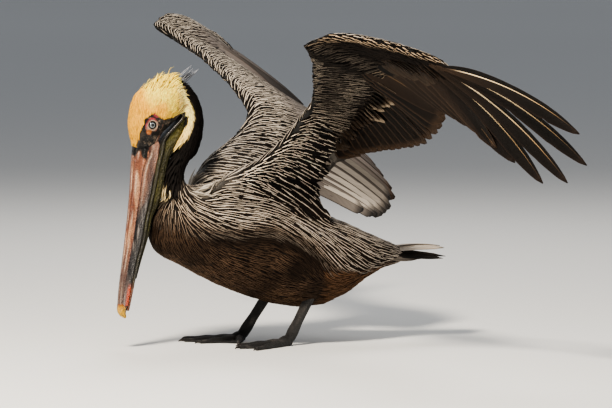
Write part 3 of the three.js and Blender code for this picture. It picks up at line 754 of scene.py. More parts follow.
# The way the feathers lie, seen from the side: y, z, angle (0 towards the tail, -90 down).
LIE = np.array([
    (-205, 225, -82), (-195, 215, -80), (-190, 180, -70), (-170, 150, -50), (-150, 225, -38),
    (-120, 205, -22), (-60, 200, -8), (-60, 160, -12), (0, 190, -34), (0, 150, -30),
    (10, 212, -42), (50, 230, -45), (30, 180, -52),
    (40, 190, -48), (50, 150, -52), (80, 170, -45), (120, 150, -25), (200, 150, -8),
    (-100, 110, -8), (-140, 130, -25), (0, 80, 0), (60, 80, 5), (120, 100, 12), (200, 130, 5),
    (-120, 250, 2), (-80, 260, -8), (-170, 255, -60), (-10, 250, -26), (100, 210, -22),
    (-245, 345, 88), (-242, 372, 88), (-240, 400, 84), (-230, 425, 78), (-215, 440, 72),
    (-190, 458, 58), (-215, 400, 85), (-195, 425, 62), (-175, 430, 50), (-168, 405, 25),
    (-200, 390, 80), (-180, 397, 52), (-164, 425, 20), (-160, 440, 25),
    (-150, 425, -55), (-137, 401, -84), (-136, 374, -92), (-142, 347, -106), (-155, 317, -110),
    (-166, 290, -96), (-168, 268, -86), (-150, 390, -80), (-151, 372, -92), (-160, 345, -120),
    (-176, 328, -125), (-185, 310, -112), (-190, 285, -100),
], float)


def lie_direction(points):
    """The lie of the coat off the wings: a blend of the nearest known directions."""
    apart = points[:, None, 1:] - LIE[None, :, :2]
    weight = 1 / (np.square(apart).sum(-1) + 60.0) ** 2
    angle = np.radians(LIE[:, 2])
    way = weight @ np.stack([np.zeros_like(angle), np.cos(angle), np.sin(angle)], -1)
    return unit(way)


def blotch(points, scale, seed):
    """Slow random change over space, between -1 and 1."""
    draw = np.random.default_rng(seed)
    total = np.zeros(len(points))
    for size in (1.0, 1.9, 3.7):
        ways = unit(draw.normal(size=(4, 3))) * size / scale
        phases = draw.uniform(0, 2 * math.pi, 4)
        total += np.sin(points @ ways.T + phases).sum(-1) / (4 * size**0.5)
    return np.clip(total * 0.9, -1, 1)


# ---------------------------------------------------------------- where each point is on the body
def wing_lookup():
    """A search tree over the wings' upper and lower surfaces and what each entry stands for."""
    rows = []
    for wing in WING.values():
        s, u = np.meshgrid(np.linspace(0, 3, 121), np.linspace(0, 1, 21), indexing="ij")
        s, u = s.ravel(), u.ravel()
        section = wing.section(s)
        c = u * section[:, 2]
        bulge = np.sqrt(u) * (1 - u) * 2.2
        half = np.maximum(section[:, 0] * 0.5 * bulge, section[:, 1] * 0.4)
        outward, backward = wing.ways(s, c)
        normal = wing.normal(s)
        for face in (1, -1):
            points = wing.at(s, c, half * face)
            side = np.full_like(s, wing.sign)
            rows.append(np.column_stack([points, s, c, u, side, outward, backward, normal]))
    rows = np.concatenate(rows)
    tree = kdtree.KDTree(len(rows))
    for i, point in enumerate(rows[:, :3].tolist()):
        tree.insert(point, i)
    tree.balance()
    return tree, rows


def locate_on_wing(points, normals, tree, rows):
    """For each point: its place on the wing, how far it belongs to the wing and to its underside."""
    found = np.array([tree.find(point)[1:] for point in points.tolist()])
    row = rows[found[:, 0].astype(int)]
    near = found[:, 1]
    s = row[:, 3]
    on_wing = step(0.10, 0.42, s) * step(26, 12, near)
    on_wing = np.where(s > 0.9, 1.0, on_wing)
    lower = step(0.25, -0.25, (normals * row[:, 13:16]).sum(-1))
    return {
        "s": s, "c": row[:, 4], "u": row[:, 5], "side": row[:, 6], "outward": row[:, 7:10],
        "backward": row[:, 10:13], "normal": row[:, 13:16], "on": on_wing, "lower": lower,
    }


def neck_distance(points):
    """How far points are outside the neck's own thickness."""
    best = np.full(len(points), 1e9)
    for a, b in zip(NECK[:-1], NECK[1:]):
        start, span = np.array([0, a[0], a[1]]), np.array([0, b[0] - a[0], b[1] - a[1]])
        share = np.clip((points - start) @ span / (span @ span), 0, 1)
        away = np.linalg.norm(points - start - share[:, None] * span, axis=1)
        best = np.minimum(best, away - mix(a[2], b[2], share))
    return best


def coat_lie(points, normals, wing):
    """The way the small feathers lie at each point."""
    s, outward, backward = wing["s"], wing["outward"], wing["backward"]
    way = lie_direction(points)
    upper_arm, hand = step(1.25, 0.85, s), step(1.88, 2.12, s)
    level = np.cross(normals, [0, 0, 1.0])
    droop = 0.28 * upper_arm + 0.35 * step(0.9, 0.4, s)
    level = unit(level * np.sign(level[:, 1:2])) - np.array([0, 0, 1.0]) * droop[:, None]
    ridge = step(0.20, 0.06, wing["c"]) * upper_arm
    below = mix(unit(level), unit(0.5 * outward + 0.8 * backward), ridge)
    below = mix(below, 0.9 * outward + 0.38 * backward, hand)
    above = mix(0.4, 0.8, hand)[:, None] * outward + backward
    wing_way = unit(mix(unit(above), unit(below), wing["lower"]))
    front = 0.85 * outward + 0.55 * backward
    wing_way = mix(wing_way, unit(front), step(0.13, 0.04, wing["u"]) * (1 - 0.15 * upper_arm))
    return unit(mix(way, wing_way, wing["on"]))


class Regions:
    """How far each point of the skin belongs to each region of the plumage, from 0 to 1."""

    def __init__(self, points, normals, wing):
        x, y, z = points.T
        s, c, on, lower = wing["s"], wing["c"], wing["on"], wing["lower"]
        self.over = z - STREAK_EDGE(y)[:, 0]  # height over the edge of the belly, in millimetres
        self.belly = step(9, -10, self.over + 6 * blotch(points, 30, 3))
        above = 1 - self.belly
        self.low_side = step(34, 4, self.over) * above
        self.vent = step(52, 66, y) * self.belly * step(150, 136, z)
        self.rump = step(70, 110, y) * above
        self.top = step(0.45, 0.85, normals[:, 2]) * step(-150, -110, y) * above
        self.breast = step(-135, -180, y) * above * step(300, 280, z)
        self.chest = step(-180, -196, y) * step(256, 246, z) * above
        nape = step(252, 266, z + 0.35 * (-165 - y)) * step(-112, -135, y)
        nape = np.where(z > 300, 1.0, nape) * step(16, 10, neck_distance(points))
        nape = nape * step(6, -2, y + 157 - 0.55 * (z - 294) - 40 * step(296, 312, z))
        near_head = (np.abs(x) < 36) & (y < -140)
        head = step(328, 345, z) * step(-168, -178, y) * near_head
        self.head = np.where((z > 330) & (y < -178) & near_head, 1.0, head)
        self.neck = np.clip(nape - self.head, 0, 1)
        self.throat = self.neck * step(332, 324, z) * step(-0.1, 0.6, -normals[:, 1])
        self.hindneck = step(-1.5, 1.5, y - BLACK_EDGE(z)[:, 0])  # where head and neck are black
        self.black = self.neck * np.where(z < 312, 1.0, self.hindneck)
        self.stripe = self.neck * (1 - np.where(z < 312, 1.0, self.hindneck))
        humeral = step(-5, 30, y) * step(0.03, 0.2, s) * (1 - on)
        self.humeral = humeral * step(150, 175, z) * step(275, 250, z)
        self.fluff = step(20, 10, np.hypot(y + 138, z - 270)) * (1 - on) * step(12, 22, np.abs(x))
        self.tuft = np.hypot(y + 198, z - 272)  # distance from the straw tuft, in millimetres
        upper_arm, hand = step(1.25, 0.85, s), step(1.88, 2.12, s)
        self.upper_arm, self.hand = upper_arm, hand
        self.under, self.back = on * lower, on * (1 - lower)
        self.inner = self.under * upper_arm
        self.ridge = step(0.20, 0.06, c) * upper_arm
        self.fore = self.under * (1 - upper_arm) * (1 - hand)
        self.palm = self.under * hand


def feather_sizes(points, normals, wing, part):
    """Length, width, lift and width of the streak: each row is laid over the ones before it."""
    _, y, z = points.T
    s, c, u = wing["s"], wing["c"], wing["u"]
    front_neck = part.stripe * step(368, 352, z) * step(-0.2, 0.5, -normals[:, 1])
    sizes = [np.full(len(points), value) for value in (46.0, 7.4, 2.7, 0.172)]
    for amount, values in (
        (step(-10, 60, y), (54, 9.4, 3.0, 0.145)),
        (part.low_side, (32, 6.8, 2.2, 0.17)),
        (part.breast, (30, 5.8, 2.2, 0.20)),
        (part.belly, (22, 5.0, 2.3, 0.28)),
        (part.vent, (26, 5.4, 2.8, 0.28)),
        (part.rump, (52, 9.0, 3.0, 0.16)),
        (part.rump * step(180, 205, y), (26, 6.4, 2.4, 0.3)),
        (part.top, (36, 8.4, 2.6, 0.28)),
        (part.humeral, (70, 16, 4.5, 0.085)),
        (part.neck, (13, 3.0, 2.0, 0.5)),
        (part.neck * step(300, 270, z), (19, 4.2, 2.4, 0.5)),
        (part.throat, (24, 4.6, 7.0, 0.5)),
        (part.stripe, (10, 2.4, 1.8, 0.5)),
        (front_neck, (18, 3.2, 9.0, 0.5)),
        (step(24, 16, part.tuft), (28, 2.6, 9.5, 0.42)),
        (part.fluff, (34, 6.5, 12.0, 0.34)),
        (part.head, (9.5, 1.8, 1.8, 0.45)),
        (part.head * step(425, 440, z), (17, 2.0, 5.0, 0.45)),
        (part.head * step(392, 380, z) * step(-225, -232, y), (8.5, 2.2, 1.4, 0.45)),
        (part.inner, (44, 14, 3.2, 0.066)),
        (part.inner * step(0.3, 0.55, u), (58, 17, 4.2, 0.06)),
        (part.inner * step(0.36, 0.22, c), (27, 9.5, 2.4, 0.12)),
        (part.inner * part.ridge, (17, 7.0, 1.9, 0.18)),
        (part.fore, (32, 12, 2.4, 0.10)),
        (part.under * (1 - part.upper_arm) * step(0.16, 0.08, u), (15, 6.4, 1.6, 0.2)),
        (part.fore * step(0.72, 0.85, u), (40, 9, 2.4, 0.12)),
        (part.palm, (26, 8.5, 1.8, 0.2)),
        (part.palm * step(0.34, 0.26, u), (13, 6.4, 1.9, 0.24)),
        (part.back, (27, 8.4, 2.0, 0.20)),
        (part.back * step(0.42, 0.15, u), (16, 6.6, 1.7, mix(0.20, 0.155, step(1.5, 1.9, s)))),
        (part.back * part.upper_arm * step(0.9, 0.7, u), (34, 10.0, 2.3, 0.17)),
        (part.back * step(0.55, 0.8, u), (36, 12, 2.2, 0.65)),
    ):
        for field, value in zip(sizes, values):
            field += (value - field) * amount
    return sizes


def belly_colours(points, over):
    """Brown in slow patches, darkest under the tail, along the streaks and between the legs, where the
    darkness is painted shade.
    """
    _, y, z = points.T
    brown = mix(BELLY * 0.75, BELLY * 2.5, step(-0.3, 0.8, blotch(points, 30, 5)))
    brown = mix(brown, BELLY * 0.42, step(38, 8, -over) * step(-190, -140, y))
    warm = step(58, 20, np.hypot(0.7 * (y + 115), z - 128) + 12 * blotch(points, 18, 29))
    brown = mix(brown, BELLY * 2.3, 0.75 * warm)
    brown = mix(brown, brown * 0.5, step(-150, -185, y) * step(150, 175, z))
    # painted shade in the hollow between the legs
    hollow = step(46, 14, np.hypot(y - 5, 1.2 * (z - 138)) + 8 * blotch(points, 20, 27))
    brown = mix(brown, BELLY * 0.22, 0.95 * hollow)
    brim = step(-34, -12, over) * step(-155, -120, y) * step(60, 20, y)
    return mix(brown, brown * 0.45, brim)


def head_colours(points, tone, hindneck):
    """Cream with golden patches on the brow and at the forehead, black down the hindneck."""
    _, y, z = points.T
    brow = step(14, 4, np.hypot(y + 232, z - 392) - 4) + step(12, 3, np.hypot(y + 203, z - 398) - 3)
    return layers(
        mix(CREAM, PALE_CREAM, step(-0.2, 0.6, tone)),
        (GOLD, 0.75 * step(0.15, 0.8, blotch(points, 26, 17))),
        (GOLD, 0.6 * np.clip(brow, 0, 1)),
        (mix(CREAM, GOLD, 0.45) * 0.9, step(-222, -238, y) * step(335, 350, z)),
        (BLACK * 1.6, hindneck),
    )


def underwing_colours(points, wing, part):
    """The streaks of the wings' undersides, with painted shade behind the leading edge, towards the covert
    row and on the hand.
    """
    s, u = wing["s"], wing["u"]
    # painted shadow of the leading edge, in a band behind it on the underside
    hollow = part.under * step(0.12, 0.18, u) * step(0.44, 0.30, u) * step(1.0, 1.2, s)
    buff = part.palm * step(0.04, -0.04, u - mix(0.10, 0.23, step(2.05, 2.5, s)))
    speck = step(-0.2, 0.5, blotch(points, 12, 61))
    # painted shade on the forearm's underside, towards the covert row and near the wrist
    painted_gloom = part.fore * np.clip(step(0.66, 0.76, u) + step(1.80, 1.89, s), 0, 1)
    wrist = part.under * step(1.86, 1.92, s) * step(2.12, 2.04, s) * step(0.84, 0.9, u)
    return layers(
        np.tile(WING_SILVER, (len(points), 1)),
        (WING_SILVER * 0.7, part.fore * step(0.45, 0.75, u)),
        (WING_SILVER * 1.9, part.inner),
        ((0.045, 0.034, 0.026), 0.65 * hollow * (1 - part.hand)),
        # the hand's underside near black: its own dark colour, made darker still as painted shade
        ((0.014, 0.0098, 0.0078), part.palm),
        ((0.42, 0.31, 0.21), buff),
        ((0.045, 0.031, 0.022), 0.4 * part.palm * speck * (1 - buff)),
        ((0.020, 0.0145, 0.011), painted_gloom),
        ((0.26, 0.20, 0.14), wrist),
    )


def upperwing_colours(wing):
    """Streak and edge colour of the wings' upper sides: pale at the front, grey at the back."""
    rear = step(0.25, 0.75, wing["u"])
    shoulder = step(0.95, 0.5, wing["s"]) * (1 - wing["lower"])
    near = step(0.5, 0.25, wing["s"]) * (1 - wing["lower"])
    streak = layers(
        mix(np.array([0.60, 0.525, 0.44]), np.array([0.19, 0.165, 0.15]), rear),
        ((0.48, 0.42, 0.36), shoulder),
        ((0.66, 0.59, 0.51), near),
    )
    edge = layers(
        mix(np.array([0.007, 0.0055, 0.0045]), np.array([0.065, 0.054, 0.049]), rear),
        ((0.009, 0.007, 0.006), shoulder),
        ((0.04, 0.034, 0.029), near),
    )
    return streak, edge


def feather_colours(points, wing, part):
    """The colours of the streak and of the edges of the small feathers at each point."""
    x, y, z = points.T
    tone = blotch(points, 45, 11)
    low = step(17, 2, part.over) * (1 - part.belly)
    bright = step(-145, -122, y) * step(-40, -70, y) * (1 - part.belly) * step(200, 225, z)
    spot = step(18, 11, np.hypot(y + 199, z - 275) + 5 * blotch(points, 6, 19))
    # painted light: paler feather edges at the front of the shoulders, where that part falls in shade
    painted_light_front_arm = step(-85, -112, y) * step(262, 275, z) * step(30, 45, np.abs(x))
    head = head_colours(points, tone, part.hindneck)
    upper_streak, upper_edge = upperwing_colours(wing)
    mid, edge = np.tile(SILVER, (len(points), 1)), np.tile(DARK_BROWN, (len(points), 1))
    for amount, streak_colour, edge_colour in (
        (0.6 * part.top, PALE_GREY, None),
        (0.8 * part.top, None, (0.022, 0.017, 0.015)),
        (part.breast, SILVER * np.array([0.8, 0.74, 0.68]), None),
        (0.8 * part.low_side, SILVER * np.array([0.48, 0.42, 0.37]), None),
        (low, (0.065, 0.045, 0.032), None),
        (0.9 * part.chest, (0.075, 0.048, 0.032), None),
        (bright, SILVER * 1.14, None),
        (part.rump, SILVER * 0.92, None),
        (part.belly, belly_colours(points, part.over), BELLY_EDGE),
        (part.vent, VENT * 1.25, VENT * 0.22),
        (part.black, BLACK * 1.6, BLACK * 0.7),
        (part.stripe, STRIPE, STRIPE * np.array([0.8, 0.7, 0.5])),
        (part.head, head, head * np.array([0.86, 0.74, 0.52])),
        (spot, (0.86, 0.70, 0.42), (0.42, 0.32, 0.17)),
        (part.fluff, (0.55, 0.49, 0.41), (0.3, 0.26, 0.21)),
        (part.humeral, SILVER * 0.8, None),
        (part.under, underwing_colours(points, wing, part), BLACK),
        (part.back, upper_streak, upper_edge),
        # painted light on the feather edges at the front of the shoulders
        (0.7 * painted_light_front_arm, None, (0.10, 0.088, 0.075)),
    ):
        if streak_colour is not None:
            mid = mix(mid, streak_colour, amount)
        if edge_colour is not None:
            edge = mix(edge, edge_colour, amount)
    return np.clip(mid * (1 + 0.18 * tone)[:, None], 0, 0.95), edge


def coat_fields(points, normals, wing):
    """Lie, size, lift and colours of the small feathers at each point of the skin."""
    part = Regions(points, normals, wing)
    length, width, lift, streak = feather_sizes(points, normals, wing, part)
    mid, edge = feather_colours(points, wing, part)
    blunt = mix(mix(0.35, 0.75, part.back), 0.15, part.head)
    return {
        "way": coat_lie(points, normals, wing), "length": length, "width": width, "lift": lift,
        "streak": streak, "mid": mid, "edge": edge, "blunt": blunt,
        "density": step(2.0, -0.5, face_depth(points)),
    }


# ---------------------------------------------------------------- small feathers
RINGS = 5  # rings of four points along a small feather, and then its tip
ALONG_GAP, ACROSS_GAP = 0.28, 0.53  # least distance between roots, as shares of length and width
TRIES = 5.0  # random places tried for each feather that is kept
UPRIGHT = 0.94  # a root is refused where the lie is closer than this to the skin's normal
SKIN_SEARCH, SKIN_NEAR = 8.0, 4.0  # how far from a spine the skin is looked for, and has to be
SAME_SIDE = 0.45  # least likeness of two normals for a spine to go on over the skin
BAKE_SIZE = 0.003  # width of a small feather's place in the bake map


def take(roots, values):
    """A field's value at each root."""
    chosen = values[roots["vertex"]]
    if chosen.ndim == 3:
        return (chosen * roots["weight"][:, :, None]).sum(1)
    return (chosen * roots["weight"]).sum(1)


def face_cross(points, triangles):
    """A vector along each triangle's normal, twice as long as its area."""
    corner = points[triangles]
    return np.cross(corner[:, 1] - corner[:, 0], corner[:, 2] - corner[:, 0])


def scatter(points, normals, triangles, fields):
    """Random roots on the skin, no two of them closer than their own feathers' sizes allow."""
    area = np.linalg.norm(face_cross(points, triangles), axis=1) / 2
    length = fields["length"][triangles].mean(1)
    width = fields["width"][triangles].mean(1)
    wanted = area / (ALONG_GAP * length * ACROSS_GAP * width) * TRIES
    wanted *= fields["density"][triangles].min(1)
    total = int(wanted.sum())
    share = np.cumsum(wanted) / wanted.sum()
    face = np.searchsorted(share, rng.random(total))
    a, b = rng.random((2, total))
    fold = a + b > 1
    a, b = np.where(fold, 1 - a, a), np.where(fold, 1 - b, b)
    roots = {"vertex": triangles[face], "weight": np.stack([1 - a - b, a, b], 1)}
    place, normal = take(roots, points), unit(take(roots, normals))
    way = take(roots, fields["way"])
    upright = np.abs((way * normal).sum(-1)) > UPRIGHT
    way = unit(way - normal * (way * normal).sum(-1, keepdims=True))
    across = np.cross(normal, way)
    along_gap = ALONG_GAP * take(roots, fields["length"])
    across_gap = ACROSS_GAP * take(roots, fields["width"])
    roots.update(place=place, normal=normal, way=way)
    rows = (place, way, across, along_gap, across_gap, np.maximum(along_gap, across_gap))
    kept = spaced(upright, *(values.tolist() for values in rows))
    return {key: values[kept] for key, values in roots.items()}


def spaced(refused, place, way, across, along_gap, across_gap, reach):
    """Which roots are kept: each keeps an oval of room from all that come after it."""
    tree = kdtree.KDTree(len(place))
    for i, point in enumerate(place):
        tree.insert(point, i)
    tree.balance()
    kept = np.zeros(len(place), bool)
    blocked = bytearray(refused.tobytes())
    for i in range(len(place)):
        if blocked[i]:
            continue
        kept[i] = True
        px, py, pz = place[i]
        wx, wy, wz = way[i]
        ax, ay, az = across[i]
        for other, j, _ in tree.find_range(place[i], reach[i]):
            if blocked[j]:
                continue
            dx, dy, dz = other[0] - px, other[1] - py, other[2] - pz
            u = (dx * wx + dy * wy + dz * wz) / along_gap[i]
            v = (dx * ax + dy * ay + dz * az) / across_gap[i]
            if u * u + v * v < 1:
                blocked[j] = 1
    return kept


def march(roots, length, skin_tree, face_way, face_normal):
    """Walks from each root over the skin, following the lie. Returns spines and their normals."""
    place, normal, way = roots["place"].copy(), roots["normal"].copy(), roots["way"].copy()
    spine, ups = [place], [normal]
    for _ in range(RINGS):
        ahead = place + way * (length / RINGS)[:, None]
        found = [skin_tree.find_nearest(point, SKIN_SEARCH) for point in ahead.tolist()]
        hit = np.array([f[0] is not None for f in found])
        nearest = np.array([tuple(f[0]) if f[0] is not None else (0, 0, 0) for f in found])
        index = np.array([f[2] if f[2] is not None else 0 for f in found])
        fresh = face_normal[index]
        close = hit & ((fresh * normal).sum(-1) > SAME_SIDE)
        close &= np.linalg.norm(nearest - ahead, axis=1) < SKIN_NEAR
        place = np.where(close[:, None], nearest, mix(place, ahead, 0.35))
        turned = unit(mix(way, face_way[index], 0.35))
        way = np.where(close[:, None], turned, way)
        normal = np.where(close[:, None], unit(mix(normal, fresh, 0.7)), normal)
        way = unit(way - normal * (way * normal).sum(-1, keepdims=True))
        spine.append(place)
        ups.append(normal)
    return np.stack(spine, 1), np.stack(ups, 1)


# Width of a small feather along its length, for a pointed one and for a blunt one.
POINTED = np.array([0.45, 0.86, 1.0, 0.74, 0.38])
BLUNT = np.array([0.5, 0.85, 1.0, 1.0, 0.78])


def small_feathers(name, spine, ups, width, lift, blunt, colours, root_uv):
    """Closed thin feathers along the spines: four points to a ring and one at the tip."""
    count = len(spine)
    v = np.linspace(0, 1, RINGS + 1)
    forward = unit(np.gradient(spine, axis=1))
    across = unit(np.cross(ups, forward))
    rise = 0.35 + (lift[:, None] - 0.35) * v**0.75
    middle = spine + ups * rise[:, :, None]
    shape = mix(POINTED, BLUNT, blunt[:, None])
    shape = np.concatenate([shape, np.full((count, 1), 0.02)], 1)
    half = 0.5 * width[:, None] * shape
    crown = 0.10 * half + 0.25
    left = middle - across * half[:, :, None] - ups * (0.5 * crown)[:, :, None]
    right = middle + across * half[:, :, None] - ups * (0.5 * crown)[:, :, None]
    top = middle + ups * crown[:, :, None]
    thin = 0.14 + 0.25 * (1 - v)
    bottom = middle + ups * (crown * 0.3 - thin)[:, :, None]
    rings = np.stack([left, top, right, bottom], 2)[:, :RINGS]
    points = np.concatenate([rings.reshape(count, RINGS * 4, 3), middle[:, -1:, :]], 1)
    per = RINGS * 4 + 1
    quads = []
    for k in range(RINGS - 1):
        for side in range(4):
            a, b = k * 4 + side, k * 4 + (side + 1) % 4
            quads.append((a, b, b + 4, a + 4))
    quads.append((0, 3, 2, 1))
    last = (RINGS - 1) * 4
    ends = [(last + side, last + (side + 1) % 4, per - 1) for side in range(4)]
    start = (np.arange(count) * per)[:, None, None]
    quads = (np.array(quads)[None] + start).reshape(-1, 4)
    ends = (np.array(ends)[None] + start).reshape(-1, 3)
    mesh = fast_mesh(name, points.reshape(-1, 3), quads, ends)
    mark_sharp_sides(mesh, per)
    u_ring, v_ring = np.tile([0, 0.5, 1, 0.5], RINGS), np.repeat(v[:RINGS], 4)
    vane = np.column_stack([np.append(u_ring, 0.5), np.append(v_ring, 1.0)])
    patch = BAKE_SIZE * (vane - np.array([0.5, 0.0]))
    bake = root_uv[:, None, :] + patch[None]
    add_uv(mesh, "Vane", np.tile(vane, (count, 1)))
    add_uv(mesh, "OFBake", bake.reshape(-1, 2))
    for key, values in colours.items():
        add_colours(mesh, key, np.repeat(values, per, axis=0))
    return mesh


def mark_sharp_sides(mesh, per):
    """Keeps the shading of a feather's top apart from that of its underside."""
    edges = mesh_edges(mesh) % per
    slot = np.where(edges == per - 1, -1, edges % 4)
    same = (slot[:, 0] == slot[:, 1]) | (slot.min(1) == -1)
    outer = slot.max(1)
    mark_sharp(mesh, same & ((outer == 0) | (outer == 2)))


def mark_sharp(mesh, sharp):
    layer = mesh.attributes.new("sharp_edge", "BOOLEAN", "EDGE")
    layer.data.foreach_set("value", sharp)


def on_neck(points):
    """Whether points are on the neck or the head."""
    return (points[:, 2] > 262) & (points[:, 1] < -118) & (np.abs(points[:, 0]) < 60)


def root_unwrap(points, wing):
    """A flat place for every point of the skin: trunk, head and neck rolled out, each wing side flat."""
    x, y, z = points.T
    turn = np.arctan2(x, z - 190.0) / (2 * math.pi) + 0.5
    uv = np.column_stack([0.02 + 0.46 * (y + 250) / 520, 0.02 + 0.46 * turn])
    neck = on_neck(points)
    spin = np.arctan2(x, -(y + 175.0)) / (2 * math.pi) + 0.5
    uv[neck] = np.column_stack([0.52 + 0.46 * spin, 0.02 + 0.46 * (z - 255) / 240])[neck]
    lane = (wing["side"] < 0) * 2 + (wing["lower"] > 0.5)
    flat = np.column_stack([0.02 + 0.96 * wing["s"] / 3, 0.51 + 0.12 * lane + 0.105 * wing["c"]])
    uv[wing["on"] > 0.5] = flat[wing["on"] > 0.5]
    return uv


# ---------------------------------------------------------------- large feathers
# Points across a vane, as shares of its half width: three on each side, and three on the shaft.
ACROSS_SHARES = np.array([-1, -0.86, -0.42, 0, 0, 0, 0.42, 0.86, 1])
SHAFT_COLUMNS = len(ACROSS_SHARES)
FRAY, SPLIT, SPLIT_CHANCE = 0.010, 0.10, 0.03  # random losses of width along a vane
RIPPLE = 0.10


class Quills:
    """Gathers large feathers, each a closed thin solid with a raised shaft, into one mesh."""

    def __init__(self):
        self.points, self.quads, self.vane, self.place, self.colours = [], [], [], [], []
        self.strips, self.count = 0, 0

    def add(self, spine, up, outer, inner, shaft, outer_sign, look, tilt=1.2, droop=0.12, thick=0.5):
        """spine and up are rows of points; outer, inner and shaft are half widths along them.

        outer_sign is 1 where the outer vane is on the side of forward x up.
        """
        stations = len(spine)
        v = np.concatenate([[0], np.cumsum(np.linalg.norm(np.diff(spine, axis=0), axis=1))])
        v /= v[-1]
        forward = unit(np.gradient(spine, axis=0))
        across = unit(np.cross(forward, up))
        face = np.cross(across, forward)
        fray = rng.normal(0, FRAY, (stations, 2))
        fray -= SPLIT * (rng.random((stations, 2)) < SPLIT_CHANCE)
        fray[: stations // 4] = 0
        outer = outer * (1 + fray[:, 0])
        inner = inner * (1 + fray[:, 1])
        low, high = (inner, outer) if outer_sign > 0 else (outer, inner)
        wide = np.where(ACROSS_SHARES < 0, low[:, None], high[:, None])
        place = wide * ACROSS_SHARES
        ridge = np.minimum(shaft, 0.8 * np.minimum(low, high))
        place[:, 3], place[:, 5] = -ridge, ridge
        bend = place / np.maximum(wide, 1e-6)
        rise = -droop * wide * bend**2 + outer_sign * tilt * bend * np.minimum(1, wide / 6)
        rise += rng.normal(0, RIPPLE, rise.shape) * (np.abs(bend) > 0.5)
        half = 0.5 * thick * (1 - 0.55 * np.abs(bend))
        top, bottom = rise + half, rise - half
        top[:, 4] += shaft * 0.8
        bottom[:, 4] -= shaft * 0.9
        top[:, [3, 5]] += 0.15 * shaft[:, None]
        bottom[:, [3, 5]] -= 0.2 * shaft[:, None]
        base = spine[:, None] + across[:, None] * place[:, :, None]
        sheets = [base + face[:, None] * height[:, :, None] for height in (top, bottom)]
        self.points.append(np.concatenate(sheets).reshape(-1, 3))
        self.quads.append(self._quads(stations) + self.count)
        self.count += 2 * stations * SHAFT_COLUMNS
        u = 0.5 + 0.5 * outer_sign * bend
        vane = np.stack([u, np.broadcast_to(v[:, None], u.shape)], -1).reshape(-1, 2)
        self.vane += [vane, vane]
        self.place += [(self.strips, vane), (self.strips + 1, vane)]
        self.strips += 2
        narrow = np.clip(ridge[:, None] / np.maximum(wide, 0.5), 0.01, 0.9)
        self.colours.append(self._colours(look, v, narrow, rng.random()))

    @staticmethod
    def _quads(stations):
        """The faces of one feather: top, underside, and the edges along its rims, root and tip."""
        under = stations * SHAFT_COLUMNS
        grid = np.arange(under).reshape(stations, SHAFT_COLUMNS)
        top = np.stack([grid[:-1, :-1], grid[:-1, 1:], grid[1:, 1:], grid[1:, :-1]], -1).reshape(-1, 4)
        edges = [np.stack([a, b, b + under, a + under], -1) for a, b in (
            (grid[:-1, 0], grid[1:, 0]), (grid[1:, -1], grid[:-1, -1]),
            (grid[0, 1:], grid[0, :-1]), (grid[-1, :-1], grid[-1, 1:]),
        )]
        return np.concatenate([top, top[:, ::-1] + under, *edges])

    @staticmethod
    def _colours(look, v, narrow, chance):
        """Shaft, outer vane and inner vane: each colour may be one, or rows of (place, r, g, b)."""
        made = {}
        for key, name in (("Mid", "shaft"), ("Edge", "outer"), ("Inner", "inner")):
            faces = []
            for which in ("top_" + name, name):
                value = np.asarray(look.get(which, look[name]), float)
                value = track(value)(v) if value.ndim == 2 else np.tile(value, (len(v), 1))
                value = np.clip(value, 0, 1)[:, None, :].repeat(SHAFT_COLUMNS, 1)
                if key != "Mid" and "rim" in look:
                    value[:, [0, -1]] = look["rim"]
                    value[-2:] = mix(value[-2:], np.array(look["rim"]), 0.7)
                fourth = narrow if key == "Mid" else np.full(narrow.shape, chance)
                faces.append(np.concatenate([value, fourth[:, :, None]], -1).reshape(-1, 4))
            made[key] = np.concatenate(faces)
        return made

    def mesh(self, name):
        mesh = fast_mesh(name, np.concatenate(self.points), np.concatenate(self.quads))
        add_uv(mesh, "Vane", np.concatenate(self.vane))
        rows = 2 if self.strips > 60 else 1
        columns = math.ceil(self.strips / rows)
        bake = []
        for strip, vane in self.place:
            u = (strip % columns + 0.06 + 0.88 * vane[:, 0]) / columns
            v = (strip // columns + 0.02 + 0.96 * vane[:, 1]) / rows
            bake.append(np.column_stack([u, v]))
        add_uv(mesh, "OFBake", np.concatenate(bake))
        for key in ("Mid", "Edge", "Inner"):
            add_colours(mesh, key, np.concatenate([entry[key] for entry in self.colours]))
        first, second = (mesh_edges(mesh) % SHAFT_COLUMNS).T
        rim = (first == 0) | (first == SHAFT_COLUMNS - 1)
        mark_sharp(mesh, (first == second) & rim)  # so that a vane's two faces are shaded apart
        return mesh

    def add_piece(self, name, slot, material, replaced=()):
        add_piece(name, self.mesh(name), material, replaced)


def bezier(a, b, c, t):
    t = np.asarray(t)[:, None]
    return (1 - t) ** 2 * a + 2 * t * (1 - t) * b + t**2 * c


# Widths along a feather, as shares of its widest place.
ROUND_TIP = track([
    (0, 0.22), (0.08, 0.5), (0.2, 0.84), (0.45, 1), (0.8, 1), (0.92, 0.94), (0.965, 0.8),
    (0.988, 0.55), (1, 0.2),
])
BLADE_WIDTH = track([
    (0, 0.4), (0.14, 0.86), (0.42, 1), (0.6, 0.92), (0.8, 0.74), (0.92, 0.46), (0.98, 0.2),
    (1, 0.05),
])
POINT_TIP = track([
    (0, 0.22), (0.08, 0.5), (0.2, 0.84), (0.45, 1), (0.68, 0.92), (0.86, 0.66), (0.95, 0.36),
    (1, 0.05),
])
LANCE = track([(0, 0.35), (0.2, 0.75), (0.45, 1), (0.7, 0.84), (0.88, 0.45), (1, 0.03)])
# Width of a finger's inner vane, as a share of half the feather: it reaches the next finger's shaft.
INNER_SHARE = track([(0, 0.6), (0.2, 0.72), (0.4, 0.9), (0.55, 1.12), (0.7, 1.35), (1, 1.35)])

